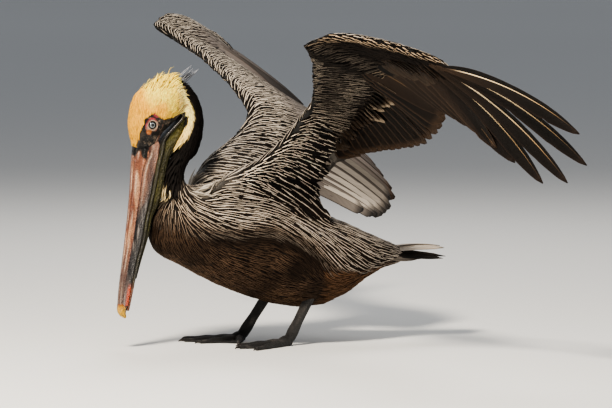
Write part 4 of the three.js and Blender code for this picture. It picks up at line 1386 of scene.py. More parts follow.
# How the large feathers look: rows are (place along the feather, red, green, blue).
SECONDARY = {
    "shaft": (0.07, 0.045, 0.028),
    "outer": [(0, 0.008, 0.006, 0.005), (0.6, 0.012, 0.0082, 0.0065), (1, 0.022, 0.014, 0.010)],
    "inner": [(0, 0.005, 0.004, 0.0034), (0.6, 0.0065, 0.0048, 0.004), (1, 0.014, 0.009, 0.0065)],
    "top_shaft": (0.05, 0.042, 0.037),
    "top_outer": [(0, 0.13, 0.113, 0.10), (0.7, 0.12, 0.10, 0.088), (1, 0.06, 0.048, 0.04)],
    "top_inner": [(0, 0.07, 0.06, 0.052), (0.7, 0.05, 0.042, 0.036), (1, 0.03, 0.023, 0.019)],
    "rim": (0.060, 0.036, 0.022),
}
PRIMARY = {
    "shaft": [
        (0, 0.03, 0.02, 0.014), (0.07, 0.10, 0.07, 0.045), (0.15, 0.74, 0.58, 0.38),
        (0.45, 0.76, 0.58, 0.35), (0.7, 0.42, 0.28, 0.15),
        (0.88, 0.08, 0.05, 0.03), (1, 0.02, 0.012, 0.008),
    ],
    "outer": (0.0045, 0.0035, 0.003),
    "inner": [
        (0, 0.026, 0.016, 0.010), (0.35, 0.011, 0.0072, 0.0052), (0.7, 0.005, 0.0038, 0.0032),
        (1, 0.008, 0.0055, 0.0042),
    ],
    "top_shaft": [(0, 0.09, 0.075, 0.062), (0.5, 0.06, 0.045, 0.035), (1, 0.02, 0.014, 0.01)],
    "top_outer": [(0, 0.13, 0.112, 0.10), (0.5, 0.12, 0.104, 0.095), (0.8, 0.05, 0.043, 0.039)],
    "top_inner": [(0, 0.09, 0.078, 0.07), (0.5, 0.08, 0.069, 0.062), (0.8, 0.04, 0.034, 0.031)],
    "rim": (0.018, 0.011, 0.008),
}
INNER_PRIMARY = {
    "shaft": (0.12, 0.075, 0.04),
    "outer": (0.008, 0.006, 0.005),
    "inner": [(0, 0.026, 0.0155, 0.010), (1, 0.013, 0.0085, 0.006)],
    "top_shaft": (0.05, 0.042, 0.037),
    "top_outer": [(0, 0.12, 0.103, 0.09), (0.7, 0.06, 0.05, 0.043), (1, 0.02, 0.015, 0.012)],
    "top_inner": [(0, 0.05, 0.042, 0.036), (1, 0.015, 0.012, 0.01)],
    "rim": (0.045, 0.027, 0.017),
}
TERTIAL = {
    "shaft": (0.028, 0.022, 0.02),
    "outer": [(0, 0.22, 0.19, 0.165), (0.7, 0.34, 0.30, 0.255), (1, 0.42, 0.36, 0.30)],
    "inner": [(0, 0.08, 0.068, 0.06), (0.6, 0.10, 0.086, 0.075), (1, 0.17, 0.145, 0.125)],
    "rim": (0.03, 0.026, 0.023),
}
# The middle feathers' pale colour and the sides' near black are partly their own colours, partly painted
# light on the higher middle of the fan and painted shade on its lower sides.
TAIL_TOP = {
    "shaft": (0.62, 0.55, 0.46),
    "outer": [(0, 0.30, 0.25, 0.20), (1, 0.42, 0.35, 0.28)],
    "inner": [(0, 0.20, 0.165, 0.135), (1, 0.30, 0.245, 0.195)],
    "rim": (0.06, 0.05, 0.042),
}
TAIL_SIDE = {
    "shaft": (0.03, 0.024, 0.02),
    "outer": (0.012, 0.010, 0.0085),
    "inner": (0.009, 0.0075, 0.0065),
    "rim": (0.02, 0.016, 0.013),
}
TAIL_LOW = {
    "shaft": (0.03, 0.024, 0.02),
    "outer": [(0, 0.02, 0.016, 0.013), (0.6, 0.16, 0.135, 0.11), (1, 0.03, 0.024, 0.02)],
    "inner": (0.009, 0.0075, 0.0065),
    "rim": (0.03, 0.024, 0.02),
}
UNDER_COVERT = {
    "shaft": (0.03, 0.022, 0.016),
    "outer": [(0, 0.01, 0.008, 0.007), (0.7, 0.03, 0.021, 0.015), (1, 0.26, 0.20, 0.14)],
    "inner": [(0, 0.01, 0.008, 0.007), (0.7, 0.045, 0.031, 0.021), (1, 0.32, 0.245, 0.175)],
    "rim": (0.30, 0.235, 0.165),
}
UPPER_COVERT = {
    "shaft": (0.05, 0.042, 0.036),
    "outer": [(0, 0.12, 0.105, 0.092), (1, 0.19, 0.165, 0.145)],
    "inner": [(0, 0.09, 0.078, 0.07), (1, 0.15, 0.13, 0.115)],
    "rim": (0.04, 0.034, 0.03),
}
HAND_COVERT = {
    "shaft": (0.05, 0.034, 0.022),
    "outer": [(0, 0.01, 0.0075, 0.006), (1, 0.014, 0.010, 0.008)],
    "inner": [(0, 0.014, 0.010, 0.0075), (1, 0.03, 0.02, 0.013)],
    "rim": (0.05, 0.034, 0.023),
}


def lighter(look, factor):
    """The same feather with its vanes lighter or darker."""
    changed = dict(look)
    for key in ("outer", "inner", "top_outer", "top_inner"):
        if key not in look:
            continue
        value = np.array(look[key], float)
        value[..., -3:] *= factor
        changed[key] = value
    return changed


def laid_feather(quills, wing, s, root, reach, width, lift, look, lean, stations=20,
                 outline=ROUND_TIP, **more):
    """A feather that lies along the wing's surface, from share root to share reach of the chord."""
    v = np.linspace(0, 1, stations)
    places = np.clip(s + lean * v, 0.0, 3.0)
    c = root + (reach - root) * v
    spine = wing.at(places, c, lift)
    up = wing.normal(places)
    half = width / 2 * outline(v)[:, 0]
    shaft = np.clip(1 - 0.8 * v, 0.15, None) * min(1.0, width / 24)
    quills.add(spine, up, half * 0.8, half * 1.2, shaft, wing.sign, look, **more)


SECONDARIES, INNER_PRIMARIES = 17, 6
TERTIALS = {"left": 6, "right": 7}
FINGER_WIDTHS = (44, 38, 36, 35, 34)
FINGER_SHAFTS = (1.3, 1.3, 1.3, 1.3, 0.85)  # half width of the shaft at the root


def add_fingers(flight, wing):
    """The five outer primaries, each a blade from the hand to its own tip."""
    up_way = wing.normal(2.85)
    v = np.linspace(0, 1, 28)
    for i, tip in enumerate(wing.tips * wing.flip):
        root = wing.at([2.66 + 0.08 * i], [0.14])[0]
        span = tip - root
        size = np.linalg.norm(span)
        forward = unit(np.cross(span * wing.flip, up_way * wing.flip)) * wing.flip
        bend = root + 0.5 * span + wing.bow[0] * size * up_way + wing.bow[1] * size * forward
        spine = bezier(root, bend, tip, v) + up_way * (-1.7 * (i + 0.6))
        half = FINGER_WIDTHS[i] / 2 * BLADE_WIDTH(v)[:, 0]
        narrow = mix(0.62, 0.5, step(0.2, 0.5, v))
        shaft = np.clip(FINGER_SHAFTS[i] * (1 - 0.8 * v), 0.2, None)
        look = lighter(PRIMARY, 1 + 0.08 * rng.normal())
        flight.add(spine, np.tile(up_way, (len(v), 1)), half * narrow, half * INNER_SHARE(v)[:, 0],
                   shaft, wing.sign, look, tilt=0.8, droop=0.14)


def build_flight_feathers(wing, material):
    side = wing.side
    flight, pale = Quills(), Quills()
    for i in range(SECONDARIES):
        s = 1.0 + 1.08 * (i + 0.5) / SECONDARIES
        root = max(0.1, wing.covered(s) - 0.2)
        reach = 1.015 + 0.006 * rng.normal()
        look = lighter(SECONDARY, 1 + 0.22 * rng.normal())
        laid_feather(flight, wing, s, root, reach, 36, 1.7 - 0.05 * i, look,
                     lean=0.02, droop=0.10 + 2.0 / wing.chord(s))
    for i in range(INNER_PRIMARIES):
        s = 2.05 + 0.66 * (i + 0.2) / INNER_PRIMARIES
        look = lighter(INNER_PRIMARY, 1 + 0.1 * rng.normal())
        laid_feather(flight, wing, s, wing.covered(s) - 0.2, 1.0 + 0.006 * i, 38, 0.6 - 0.3 * i, look,
                     lean=0.05, outline=POINT_TIP)
    add_fingers(flight, wing)
    tertials = TERTIALS[side]
    for i in range(tertials):
        s = 0.48 + 0.56 * (i + 0.4) / tertials
        root = max(0.1, wing.covered(s) - 0.16)
        fade = 1.15 - 0.75 * max(0.0, i / (tertials - 1) - 0.35) / 0.65
        look = lighter(TERTIAL, fade if side == "right" else 0.32)
        laid_feather(pale, wing, s, root, 0.995 + 0.012 * rng.normal(), 36, 3.4, look,
                     lean=0.015, droop=0.08, tilt=1.6)
    parts = ["secondaries", "inner_primaries"] + [f"primary_{n}" for n in range(6, 11)]
    flight.add_piece(f"flight_feathers_{side}", "flight_quills", material,
                     [f"wing_{side}_{part}" for part in parts])
    pale.add_piece(f"tertials_{side}", "tertial_quills", material, [f"wing_{side}_tertials"])


COVERTS = 34  # places along the wing, above and below


def build_greater_coverts(wing, material):
    """Rows of middle-sized feathers over the roots of the flight feathers, above and below."""
    quills = Quills()
    for face, past, spread, width in ((1, 0.62, 0.35, 22), (-1, 0.36, 0.55, 27)):
        for i in range(COVERTS):
            s = 1.0 + 1.66 * (i + 0.5) / COVERTS
            if 1.99 < s < 2.14:
                continue  # the bend of the wrist, covered by small feathers
            share, tail = wing.covered(s), wing.section(np.array([s]))[0, 1]
            size = (46 if s < 2 else 40) / wing.chord(s)
            lift = face * (tail * 0.5 * 0.85 + 1.0)
            if face > 0:
                look = lighter(UPPER_COVERT, 1 + 0.1 * rng.normal())
            else:
                pale = 0.85 * float(step(1.42, 1.6, s) * step(2.08, 2.0, s))
                look = UNDER_COVERT if rng.random() < pale else HAND_COVERT
                look = lighter(look, 1 + 0.4 * rng.normal())
            reach = share + size * past * (1 + spread * rng.normal())
            laid_feather(quills, wing, s, share - size * 0.6, reach, width, lift, look,
                         lean=0.02, stations=10, thick=0.35, tilt=face)
    quills.add_piece(f"greater_coverts_{wing.side}", "wing_coverts", material)


# ---------------------------------------------------------------- tail and crest
TAIL_ROOT, TAIL_TIP = np.array([0, 190, 152.0]), np.array([0, 318, 158.0])
TAIL_FEATHERS = 20
CREST_PLUMES = 14
CREST_WIDTH = 2.2 * np.array([0.6, 0.9, 1, 1, 0.9, 0.75, 0.55, 0.35, 0.08])
CREST_GREY = np.array([0.30, 0.31, 0.34])


def build_tail(material):
    quills = Quills()
    v = np.linspace(0, 1, 20)
    half = 10.5 * LANCE(v)[:, 0]
    shaft = np.clip(0.9 * (1 - 0.8 * v), 0.15, None)
    for i in range(TAIL_FEATHERS):
        w = 2 * (i + 0.5) / TAIL_FEATHERS - 1
        off = abs(w)
        middle_pair, low_pair = off < 0.5, off > 0.84
        length = 1 - 0.05 * abs(rng.normal()) - 0.10 * off - 0.30 * low_pair
        start = TAIL_ROOT + np.array([19 * w, 0, -9 * w * w])
        end = TAIL_TIP + np.array([56 * w, 0, -4 * off if middle_pair else -8 - 15 * off])
        end = start + (end - start) * length
        bend = (start + end) / 2 + np.array([3 * w, 0, 6 - 5 * off])
        spine = bezier(start, bend, end, v)
        spine[:, 2] += (1 - off) * (2.2 + 4.0 * np.sin(math.pi * v))
        if middle_pair:
            # lighter towards the middle, where the fan is highest: partly painted light
            look = lighter(TAIL_TOP, 0.85 + 0.3 * (1 - off) + 0.06 * rng.normal())
        else:
            look = TAIL_LOW if low_pair else TAIL_SIDE
        up = np.tile(unit(np.array([0.5 * w, 0, 1])), (len(v), 1))
        quills.add(spine, up, half * 0.85, half * 1.15, shaft, 1 if w > 0 else -1, look,
                   tilt=-0.9, droop=0.1)
    quills.add_piece("tail_feathers", "tail_quills", material, ["tail"])


def build_crest(material):
    """Slim plumes that stand out from the nape."""
    quills = Quills()
    count = len(CREST_WIDTH)
    v = np.linspace(0, 1, count)
    for _ in range(CREST_PLUMES):
        sideways = rng.normal(0, 3.0)
        start = np.array([sideways, -176 + rng.uniform(0, 18), 448 - rng.uniform(0, 14)])
        reach = rng.uniform(0.75, 1.05)
        end = start + np.array([0.5 * sideways, 36 + rng.normal(0, 1.5), 29 + rng.normal(0, 2)]) * reach
        middle = (start + end) / 2 + np.array([0, -1, 4])
        grey = CREST_GREY * rng.uniform(0.6, 1.15)
        look = {"shaft": grey * 1.5, "outer": grey, "inner": grey * 0.5}
        up = np.tile(unit(np.array([0.3 * rng.normal(), -0.6, 0.8])), (count, 1))
        quills.add(bezier(start, middle, end, v), up, CREST_WIDTH, CREST_WIDTH,
                   np.full(count, 0.2), 1, look, tilt=0.2, droop=0.2, thick=0.3)
    quills.add_piece("crest_plumes", "head_plumage", material, ["crest"])


# ---------------------------------------------------------------- bill and pouch
def loft(rings):
    """Points and faces of closed rings joined one to the next, with both ends closed."""
    count, sides = rings.shape[:2]
    points = np.concatenate([rings.reshape(-1, 3), [rings[0].mean(0), rings[-1].mean(0)]])
    grid = np.arange(count * sides).reshape(count, sides)
    after = np.roll(grid, -1, 1)
    quads = np.stack([grid[:-1], after[:-1], after[1:], grid[1:]], -1).reshape(-1, 4)
    start, end = count * sides, count * sides + 1
    first = np.stack([after[0], grid[0], np.full(sides, start)], -1)
    last = np.stack([grid[-1], after[-1], np.full(sides, end)], -1)
    a, b, c = (points[quads[:, corner]] for corner in range(3))
    if np.einsum("ij,ij->i", a, np.cross(b, c)).sum() < 0:  # inside out
        quads, first, last = quads[:, ::-1], first[:, ::-1], last[:, ::-1]
    return points, quads, np.concatenate([first, last])


def add_solid(name, rings, colours_at, material, replaced):
    """A piece through closed rings, kept above the ground, with the colours found at its points."""
    points, quads, ends = loft(rings)
    points[:, 2] = np.maximum(points[:, 2], 0.0)
    mesh = fast_mesh(name, points, quads, ends)
    add_skin_colours(mesh, colours_at(points))
    add_piece(name, mesh, material, replaced)


# Bill stations from base to tip: z, culmen y, cutting-edge y, half width.
BILL = track([
    (353, -240, -205, 13.5), (342, -244.5, -202, 18.0), (336.6, -245, -202, 18.5),
    (308, -247.5, -208, 18), (266, -250, -216, 17), (224, -254, -225.5, 15.5), (182, -259, -233, 14),
    (140, -264.5, -244, 12.5), (98, -270, -252, 11.2), (72.4, -272, -256, 10),
])
# Nail stations: z, middle y, half width, half depth.
NAIL = track([
    (76, -264.5, 8.5, 7.2), (72, -264, 9.6, 7.9), (66, -264.5, 9.1, 7.8), (59, -263.5, 7, 6.6),
    (54, -261, 4.6, 4.6), (51, -258.5, 1.2, 1.2),
])
# Lower jaw stations: z, front y, depth, half width.
JAW = track([
    (398, -158, 5, 15), (385, -166, 7, 19), (370, -181, 8, 19), (352, -197, 8, 18.5),
    (336, -200.5, 8, 18), (308, -207.5, 8, 17.5), (266, -215.5, 7.5, 16), (224, -225, 7, 14.5),
    (182, -232.5, 6.5, 13), (140, -243.5, 6, 11.5), (98, -251.5, 5.5, 10), (64, -257, 4.5, 6.5),
])
# Pouch stations: z, front y, back y, half width.
POUCH = track([
    (394, -157, -146, 8), (376, -168, -153, 13), (350, -190, -163, 16), (332, -194, -175.5, 15.5),
    (300, -202, -186, 15), (266, -209, -193, 14.5), (240, -214, -200, 13), (224, -218, -209, 12.5),
    (190, -224.5, -217.5, 11), (150, -235, -230, 9), (118, -242, -239, 7),
])
# Right halves of the sections: share of the half width, share of the depth.
BILL_PROFILE = [
    (0, 0), (0.15, 0.012), (0.27, 0.05), (0.33, 0.11), (0.39, 0.12), (0.50, 0.10), (0.66, 0.15),
    (0.78, 0.26), (0.84, 0.37), (0.83, 0.43), (0.86, 0.48), (0.94, 0.54), (1, 0.68), (0.99, 0.88),
    (0.94, 1), (0.4, 0.96), (0, 0.95),
]
JAW_PROFILE = [
    (0, 0), (0.5, 0), (0.92, 0.02), (1, 0.2), (1, 0.4), (0.97, 0.7), (0.88, 0.92), (0.5, 1), (0, 1),
]
POUCH_PROFILE = [
    (0, 0), (0.6, 0), (0.92, 0.05), (0.98, 0.25), (0.94, 0.5), (0.74, 0.8), (0.42, 0.96), (0, 1),
]


def mirrored_rings(profile, cuts, stations, shape):
    """Closed rings from a right half, whose straight pieces are cut, at each station in z."""
    profile = np.asarray(profile, float)
    rows = [mix(a, b, k / cuts) for a, b in zip(profile[:-1], profile[1:]) for k in range(cuts)]
    w, d = np.array(rows + [profile[-1]]).T
    rings = []
    for z in stations:
        right = np.column_stack([*shape(z, w, d), np.full(len(w), z)])
        left = right[1:-1][::-1] * np.array([-1, 1, 1])
        rings.append(np.concatenate([right, left]))
    return np.array(rings)


def bill_shape(z, w, d):
    ridge, edge, half = BILL(z)
    wave = 0.12 * math.sin(z * 0.9) + 0.1 * math.sin(z * 2.3)
    return (half - 0.2) * w, ridge + (edge - ridge) * d + 0.15 * wave * w


def jaw_shape(z, w, d):
    front, deep, half = JAW(z)
    return half * w, front + deep * d


def pouch_shape(z, w, d):
    front, back, half = POUCH(z)
    fold = 0.35 * np.sin(d * 24 + z * 0.05) * step(0.1, 0.3, d)
    return (half + fold) * w, front + (back - front) * d


def nail_rings():
    angle = np.linspace(0, 2 * math.pi, 28, endpoint=False)
    rings = []
    for z in np.linspace(76, 51, 22):
        y, half, deep = NAIL(z)
        ring = [half * np.sin(angle), y - deep * np.cos(angle), np.full(len(angle), z)]
        rings.append(np.column_stack(ring))
    return np.array(rings)


def bell(value, middle, width):
    """1 in the middle, and falling away on both sides."""
    return np.exp(-((value - middle) / width) ** 2)


def bill_streaks(points, squeeze, size, seed):
    """Random change in streaks that run down the bill."""
    return blotch(points * np.array([1, 1, squeeze]), size, seed)


def bill_colours(points):
    """A pale strip along the top, plates on the sides that darken downwards, grooves in between, and painted
    highlight lines on the strip and the plate.
    """
    z = points[:, 2]
    ridge, edge, half = BILL(z).T
    w = np.abs(points[:, 0]) / np.maximum(half, 1)
    d = (points[:, 1] - ridge) / (edge - ridge)
    side = step(0.66, 0.74, w)
    tone = blotch(points, 9, 21)
    streaks = bill_streaks(points, 0.12, 2.6, 24)
    fleck = step(0.15, 0.6, bill_streaks(points, 0.09, 1.9, 25))
    groove = 0.44 + 0.16 * step(292, 340, z)
    # painted highlights: thin pale lines along the ridge strip and along the side plate
    painted_glint_lines = bell(w, 0.22, 0.05) * (d < 0.12) + bell(d, 0.19, 0.035) * (w > 0.6)
    strip = layers(
        mix(linear(0xC0906E), linear(0x7E4A36), step(-0.5, 0.5, streaks)),
        (0xA0553A, 0.5 * step(0.30, 0.42, d) * side),
        (0x5C4A44, 0.85 * step(190, 112, z)),
        (0xE6CDB4, 0.6 * painted_glint_lines * step(-0.6, 0.2, blotch(points, 16, 26))),
    )
    slate = mix(linear(0x191718), linear(0x3A3738), step(-0.5, 0.8, streaks))
    plate = layers(
        mix(linear(0x9A705C), linear(0x5A3B30), step(-0.4, 0.6, streaks)),
        # a pale line along the plate: painted highlight, partly the horn's own pale streak
        (0xDCC4B0, 0.75 * bell(d, groove + 0.12, 0.028)),
        (slate, step(292, 232, z + 14 * tone + 60 * (0.75 - d))),
        (0xA89C94, 0.7 * fleck * step(262, 235, z)),
        (0x9A7F76, 0.55 * step(130, 90, z) * step(0.85, 0.7, d)),
    )
    dark_from = 328 + 6 * blotch(points, 6, 23) - 9 * step(0.2, 0.45, d) + 40 * step(0.5, 0.62, d)
    return layers(
        strip * (1 + 0.18 * tone)[:, None],
        (plate, side * step(groove - 0.01, groove + 0.03, d)),
        (0x5A2E22, 0.8 * bell(w, 0.35, 0.045) * (d < 0.3)),
        (0x2C1512, 0.9 * bell(d, groove, 0.028) * side),
        (0xC24A22, step(0.60, 0.78, d) * step(110, 94, z + 4 * tone)),
        (0x1F1A18, 0.85 * step(0.84, 0.96, d) * step(118, 135, z) * step(306, 284, z)),
        (0x14110F, step(-1.5, 1.5, z - dark_from)),
    )


def nail_colours(points):
    _, y, z = points.T
    return layers(
        mix(linear(0xC08A28), linear(0xD9A522), step(72, 62, z)),
        (0xB9B2A2, step(-261, -257, y) * step(56, 60, z)),
        (0x8C4A22, step(70, 76, z)),
    )


def jaw_colours(points):
    z = points[:, 2]
    return layers(
        mix(linear(0x15120F), linear(0x37331F), step(352, 335, z)),
        (0x2A271B, step(260, 200, z)),
        (0x4E4A2C, 0.6 * step(0.0, 0.8, bill_streaks(points, 0.1, 2.4, 31)) * step(352, 335, z)),
        (0x8A4A2C, 0.6 * step(120, 90, z)),
    )


def pouch_colours(points):
    z = points[:, 2]
    streaks = np.sin(points[:, 0] * 2.1 + 0.03 * z + 2 * blotch(points, 22, 33))
    return layers(
        mix(linear(0x47431F), linear(0x33301A), step(-0.3, 0.8, streaks)),
        (0x2B2A1C, step(250, 130, z) * 0.6),
        (0x5F5A20, 0.6 * step(335, 370, z)),
    )


def build_bill(horn, soft):
    rings = mirrored_rings(BILL_PROFILE, 3, np.linspace(353, 72, 124), bill_shape)
    add_solid("upper_bill", rings, bill_colours, horn, ["bill_upper"])
    add_solid("nail", nail_rings(), nail_colours, horn, ["bill_nail"])
    rings = mirrored_rings(JAW_PROFILE, 3, np.linspace(397, 64, 120), jaw_shape)
    add_solid("lower_bill", rings, jaw_colours, horn, ["bill_lower"])
    rings = mirrored_rings(POUCH_PROFILE, 5, np.linspace(393, 118, 130), pouch_shape)
    add_solid("pouch_skin", rings, pouch_colours, soft, ["pouch"])


# ---------------------------------------------------------------- eyes
EYE_RADIUS = 8.6


def eye_colours(points):
    """Black pupil, pale iris that darkens outwards, and a dark rest, also on the hidden side."""
    r = np.where(np.abs(points[:, 0]) > EYE_CENTRE[0], eye_distance(points), 20)
    return layers(
        mix(linear(0x040404), linear(0x7C8486), step(2.6, 3.0, r)),
        (0x525C60, step(3.5, 4.3, r)),
        (0x1C1614, step(4.5, 5.0, r)),
        (0x0C0908, step(5.8, 6.2, r)),
    )


def build_eyes(material):
    bend = np.linspace(0.02, math.pi - 0.02, 110)[:, None]
    turn = np.linspace(0, 2 * math.pi, 56, endpoint=False)
    ball = [np.cos(bend) * np.ones(len(turn)), np.sin(bend) * np.cos(turn), np.sin(bend) * np.sin(turn)]
    for side, sign in (("left", 1), ("right", -1)):
        flip = np.array([sign, 1, 1])
        rings = np.stack(ball, -1) * EYE_RADIUS * flip + EYE_CENTRE * flip
        add_solid(f"eyeball_{side}", rings, eye_colours, material, [f"eye_{side}"])


# ---------------------------------------------------------------- legs and feet
# Which side of the body, ankle and knee of each leg.
LEGS = {
    "left": (1, (50, 13, 12), (50, 62, 98)),
    "right": (-1, (50, -37, 12), (50, 30, 104)),
}
FOOT_VOXEL = 1.15
FLAT = np.array([1, 1, 0])
TOE_SHORT = 6.0  # how far a toe stops before the middle of its claw


def tube_rings(spine, radii, flatten, sides=18):
    """Rings round a line of points, flatten times as wide as they are high."""
    spine, radii = np.asarray(spine, float), np.asarray(radii, float)
    forward = unit(np.gradient(spine, axis=0))
    steep = np.abs(forward[:, 2:]) > 0.9
    side = unit(np.where(steep, np.array([1.0, 0, 0]), np.cross([0, 0, 1.0], forward)))
    over = np.cross(forward, side)
    angle = np.linspace(0, 2 * math.pi, sides, endpoint=False)
    return (
        spine[:, None]
        + over[:, None] * (radii[:, None] * np.cos(angle))[:, :, None]
        + side[:, None] * (radii[:, None] * flatten * np.sin(angle))[:, :, None]
    )


def join_solids(solids):
    """One mesh from several closed point and face sets."""
    points, quads, ends, count = [], [], [], 0
    for more, quad, end in solids:
        points.append(more)
        quads.append(quad + count)
        ends.append(end + count)
        count += len(more)
    return fast_mesh("joined", np.concatenate(points), np.concatenate(quads), np.concatenate(ends))


def toe_solid(base, way, length):
    v = np.linspace(0, 1, 40)
    spine = base - way * 2 + way * (length + 2) * v[:, None]
    spine[:, 2] = mix(6.2, 2.6, v)
    knuckle = 1 + 0.10 * np.cos(v * 6 * math.pi) * step(0.1, 0.3, v)
    radii = np.interp(v, [0, 0.45, 1], [8.2, 6.2, 3.4]) * knuckle
    return loft(tube_rings(spine, radii, 0.92))


def web_solid(base, first, second):
    """The web between two toes: a thin sheet with a hollow front edge."""
    across = np.linspace(0, 1, 15)
    out = np.linspace(0.0, 1, 19)
    rows = []
    for u in out:
        dip = 1 - 0.20 * (4 * across * (1 - across)) * u
        rows.append(base + (mix(first, second, across) - base) * (0.97 * u * dip)[:, None])
    high, low = np.array(rows), np.array(rows)
    wave = 0.35 * np.sin(out * 30)[:, None] * np.sin(across * math.pi)
    sag = 2.6 + 0.5 * np.sin(across * 9) * out[:, None]
    high[..., 2] = sag + wave + 1.3 * (1 - out[:, None])
    low[..., 2] = 0.9
    rings = np.concatenate([high, low[:, ::-1]], 1)
    rings[0] = rings[0] * 0.02 + rings[1] * 0.98
    return loft(rings)


def joint_solid(ankle):
    v = np.linspace(0, 1, 12)
    spine = np.array([ankle[0], ankle[1] + 9, 7]) + np.array([0, -23, 2]) * v[:, None]
    return loft(tube_rings(spine, np.interp(v, [0, 0.3, 0.7, 1], [5, 10.2, 9.6, 5]), 0.9))


def shank_solid(ankle, knee):
    low = np.array([ankle[0], ankle[1] + 4, 12])
    top = knee + (knee - low) * 0.12
    v = np.linspace(0, 1, 60)
    radii = np.interp(v, [0, 0.12, 0.3, 0.7, 1], [9.4, 10.2, 8.6, 9.4, 12])
    radii = radii * (1 + 0.012 * np.sin(v * 150))
    return loft(tube_rings(low + (top - low) * v[:, None], radii, 0.66))


def leg_colours(points, normals):
    """Black feet, greyer where they face up, and a grey mottled shank."""
    shank = mix(linear(0x2C2A2A), linear(0x5A5551), step(-0.1, 0.9, blotch(points, 6, 43)))
    up = step(0.3, 0.8, normals[:, 2])
    colour = layers(
        np.tile(linear(0x1C1B1B), (len(points), 1)),
        (0x4C4744, 0.8 * up * step(0.15, 0.8, blotch(points, 7, 42))),
        (shank, step(16, 34, points[:, 2])),
    )
    return colour * (1 + 0.15 * blotch(points, 12, 41))[:, None]


def claw_colours(points):
    return np.tile(linear(0x26211E), (len(points), 1))


def claw_rings(end, way):
    v = np.linspace(0, 1, 14)
    heights = [np.array([0, 0, height]) for height in (3.4, 4.6, 0.9)]
    places = [end + way * ahead + height for ahead, height in zip((-2, 7, 10.5), heights)]
    return tube_rings(bezier(*places, v), 2.9 * (1 - 0.8 * v**1.3), 0.8, 14)


def build_leg(side, material, claw_material):
    sign, *joints = LEGS[side]
    ankle, knee = np.array(joints, float) * np.array([sign, 1, 1])
    base = ankle * FLAT
    ways, ends, solids = [], [], []
    for toe in range(1, 5):
        flat = (sum(node_box(f"claw_{side}_{toe}")) / 2 - OFFSET - base) * FLAT
        way, length = flat / np.linalg.norm(flat), np.linalg.norm(flat) - TOE_SHORT
        ways.append(way)
        ends.append(base + way * length)
        solids.append(toe_solid(base, way, length))
    solids += [web_solid(base, first, second) for first, second in zip(ends[:-1], ends[1:])]
    solids += [joint_solid(ankle), shank_solid(ankle, knee)]
    mesh = remeshed(join_solids(solids), FOOT_VOXEL)
    points, _, _ = mesh_arrays(mesh)
    points = relax(points, mesh_edges(mesh), 3)
    points[:, 2] = np.maximum(points[:, 2], 0.0)
    set_points(mesh, points)
    points, normals, _ = mesh_arrays(mesh)
    add_skin_colours(mesh, leg_colours(points, normals))
    add_piece(f"leg_and_foot_{side}", mesh, material, [f"leg_{side}", f"foot_{side}"])
    for toe, (end, way) in enumerate(zip(ends, ways), 1):
        add_solid(f"nail_{side}_{toe}", claw_rings(end, way), claw_colours,
                  claw_material, [f"claw_{side}_{toe}"])


# ---------------------------------------------------------------- skin colours
def skin_colours(points, coat):
    """The coat's own dark edge colour, which stands as painted shade in the gaps between the feathers, and
    the colours of the bare face.
    """
    x, y, z = points.T
    r = eye_distance(points)
    dy, dz = y - EYE_CENTRE[1], z - EYE_CENTRE[2]
    pink = linear(0xA53843)
    peak = step(8.5, 3, np.hypot(y + 210, z - 395))
    orange = step(6.0, 3.0, np.hypot(y + 223, z - 364.5))
    pale = layers(
        mix(linear(0xA8705F), linear(0xC0A48E), step(11.0, 8.8, r)),
        (pink, step(1, 7, dz - 0.45 * dy) * step(8.0, 9.8, r)),
        (pink * 0.9, peak),
        (0xC87A3C, orange),
        (0x983C48, 0.75 * step(-7.5, -9.8, dy) * step(8, 0, np.abs(dz))),
    )
    ring = step(12.2, 10.8, r * (1 + 0.10 * np.sin(3 * np.arctan2(dz, dy))))
    behind = step(8.6, 10.6, dy) * step(3, -4, dz)
    patch = np.clip(ring * (1 - behind) + peak + 0.8 * orange, 0, 1)
    speck = step(0.35, 0.75, blotch(points, 2.2, 57)) * step(9.5, 12, r)
    # a pale tongue of skin that rises from the base of the bill
    above = z - 340
    reach = np.sqrt(np.clip(1 - above / 19, 0, 1)) * 6.0
    tongue = step(1.2, -0.6, np.abs(y + 206 - 0.2 * above) - reach)
    face = layers(
        mix(linear(0x120F0D), linear(0x3C342D), 0.8 * step(0.1, 0.9, blotch(points, 5, 51))),
        (pale, patch * step(-0.3, 0.2, blotch(points, 4, 53) + 0.4)),
        (0x120C0A, step(7.5, 6.9, r)),
        (0x7A6A5A, 0.7 * speck * (1 - patch)),
        (mix(linear(0x8E6450), linear(0xD2B8A4), step(2.2, 0.6, np.abs(y + 207))), tongue),
    )
    # off the bare face the skin keeps the coat's dark edge colour: painted shade between the feathers
    return mix(coat, face, step(-1.5, 0.8, face_depth(points)) * (np.abs(x) < 60))


# ---------------------------------------------------------------- the bird
COAT_PIECES = [
    ("coat_head", "head_plumage"), ("coat_neck", "neck_plumage"), ("coat_belly", "belly_plumage"),
    ("coat_left_side", "belly_plumage"), ("coat_right_side", "belly_plumage"),
    ("coat_left_wing_under", "wing_coverts"), ("coat_left_wing_upper", "wing_coverts"),
    ("coat_right_wing_under", "wing_coverts"), ("coat_right_wing_upper", "wing_coverts"),
]


def coat_piece_of(place, on, lower, side):
    """The number of the coat piece that each root belongs to."""
    x, y, z = place.T
    piece = np.where(x > 0, 3, 4)
    piece = np.where(z < STREAK_EDGE(y)[:, 0] - 6, 2, piece)
    piece = np.where(on_neck(place), 1, piece)
    piece = np.where(on_neck(place) & (z > 345) & (y < -150), 0, piece)
    wing_piece = np.where(side > 0, 5, 7) + (lower < 0.5)
    return np.where(on > 0.5, wing_piece, piece)


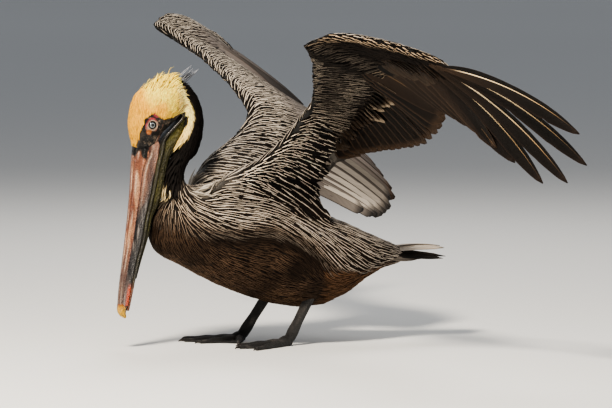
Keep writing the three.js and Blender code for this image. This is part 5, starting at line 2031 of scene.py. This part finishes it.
def build_coat(skin, wing, fields, material):
    points, normals, triangles = mesh_arrays(skin)
    roots = scatter(points, normals, triangles, fields)
    count = len(roots["place"])

    def varied(key, low, high):
        return take(roots, fields[key]) * rng.uniform(low, high, count)

    length, width = varied("length", 0.82, 1.15), varied("width", 0.85, 1.12)
    lift = varied("lift", 0.7, 1.3)
    _, y, z = roots["place"].T
    raised = (z > 428) & (y < -150) & (rng.random(count) < 0.16)
    lift = lift * np.where(raised, rng.uniform(1.5, 2.6, count), 1)
    turn = rng.normal(0, 0.09, count)
    loose = np.hypot(y + 199, z - 272) < 22
    turn = np.where(loose, 4 * turn, turn)
    across = np.cross(roots["normal"], roots["way"])
    roots["way"] = unit(roots["way"] * np.cos(turn)[:, None] + across * np.sin(turn)[:, None])
    tree = BVHTree.FromPolygons(points.tolist(), triangles.tolist())
    face_way = unit(fields["way"][triangles].mean(1))
    spine, ups = march(roots, length, tree, face_way, unit(face_cross(points, triangles)))
    shade = np.clip(rng.normal(1, 0.13, count), 0.6, 1.4)[:, None]
    mid, edge = (np.clip(take(roots, fields[key]) * shade, 0, 1) for key in ("mid", "edge"))
    middle = np.column_stack([mid, varied("streak", 0.8, 1.2)])
    border = np.column_stack([edge, rng.random(count)])
    blunt = take(roots, fields["blunt"])
    nearest = roots["vertex"][np.arange(count), roots["weight"].argmax(1)]
    root_uv = root_unwrap(points, wing)[nearest]
    on, lower = take(roots, wing["on"]), take(roots, wing["lower"])
    piece = coat_piece_of(roots["place"], on, lower, wing["side"][nearest])
    for number, (name, slot) in enumerate(COAT_PIECES):
        mine = piece == number
        colours = {"Mid": middle[mine], "Edge": border[mine]}
        mesh = small_feathers(name, spine[mine], ups[mine], width[mine], lift[mine], blunt[mine],
                              colours, root_uv[mine])
        add_piece(name, mesh, material)


def build_bird():
    plumage, quill = plumage_material(), quill_material()
    skin = build_skin()
    points, normals, _ = mesh_arrays(skin)
    wing = locate_on_wing(points, normals, *wing_lookup())
    fields = coat_fields(points, normals, wing)
    add_skin_colours(skin, skin_colours(points, fields["edge"]))
    add_piece("skin", skin, skin_material("skin", 0.55, 260.0, 0.4, cells=900.0), FLESH)
    build_coat(skin, wing, fields, plumage)
    for each in WING.values():
        build_flight_feathers(each, quill)
        build_greater_coverts(each, quill)
    build_tail(quill)
    build_crest(quill)
    horn = skin_material("bill_horn", 0.3, 420.0, 0.2, gloss=0.5)
    build_bill(horn, skin_material("pouch", 0.5, 300.0, 0.5))
    build_eyes(eye_material())
    legs = skin_material("leg_skin", 0.6, 350.0, 0.5, cells=420.0)
    claws = skin_material("claw_horn", 0.35, 500.0, 0.2)
    for side in LEGS:
        build_leg(side, legs, claws)


add_camera()
add_stage()
build_bird()
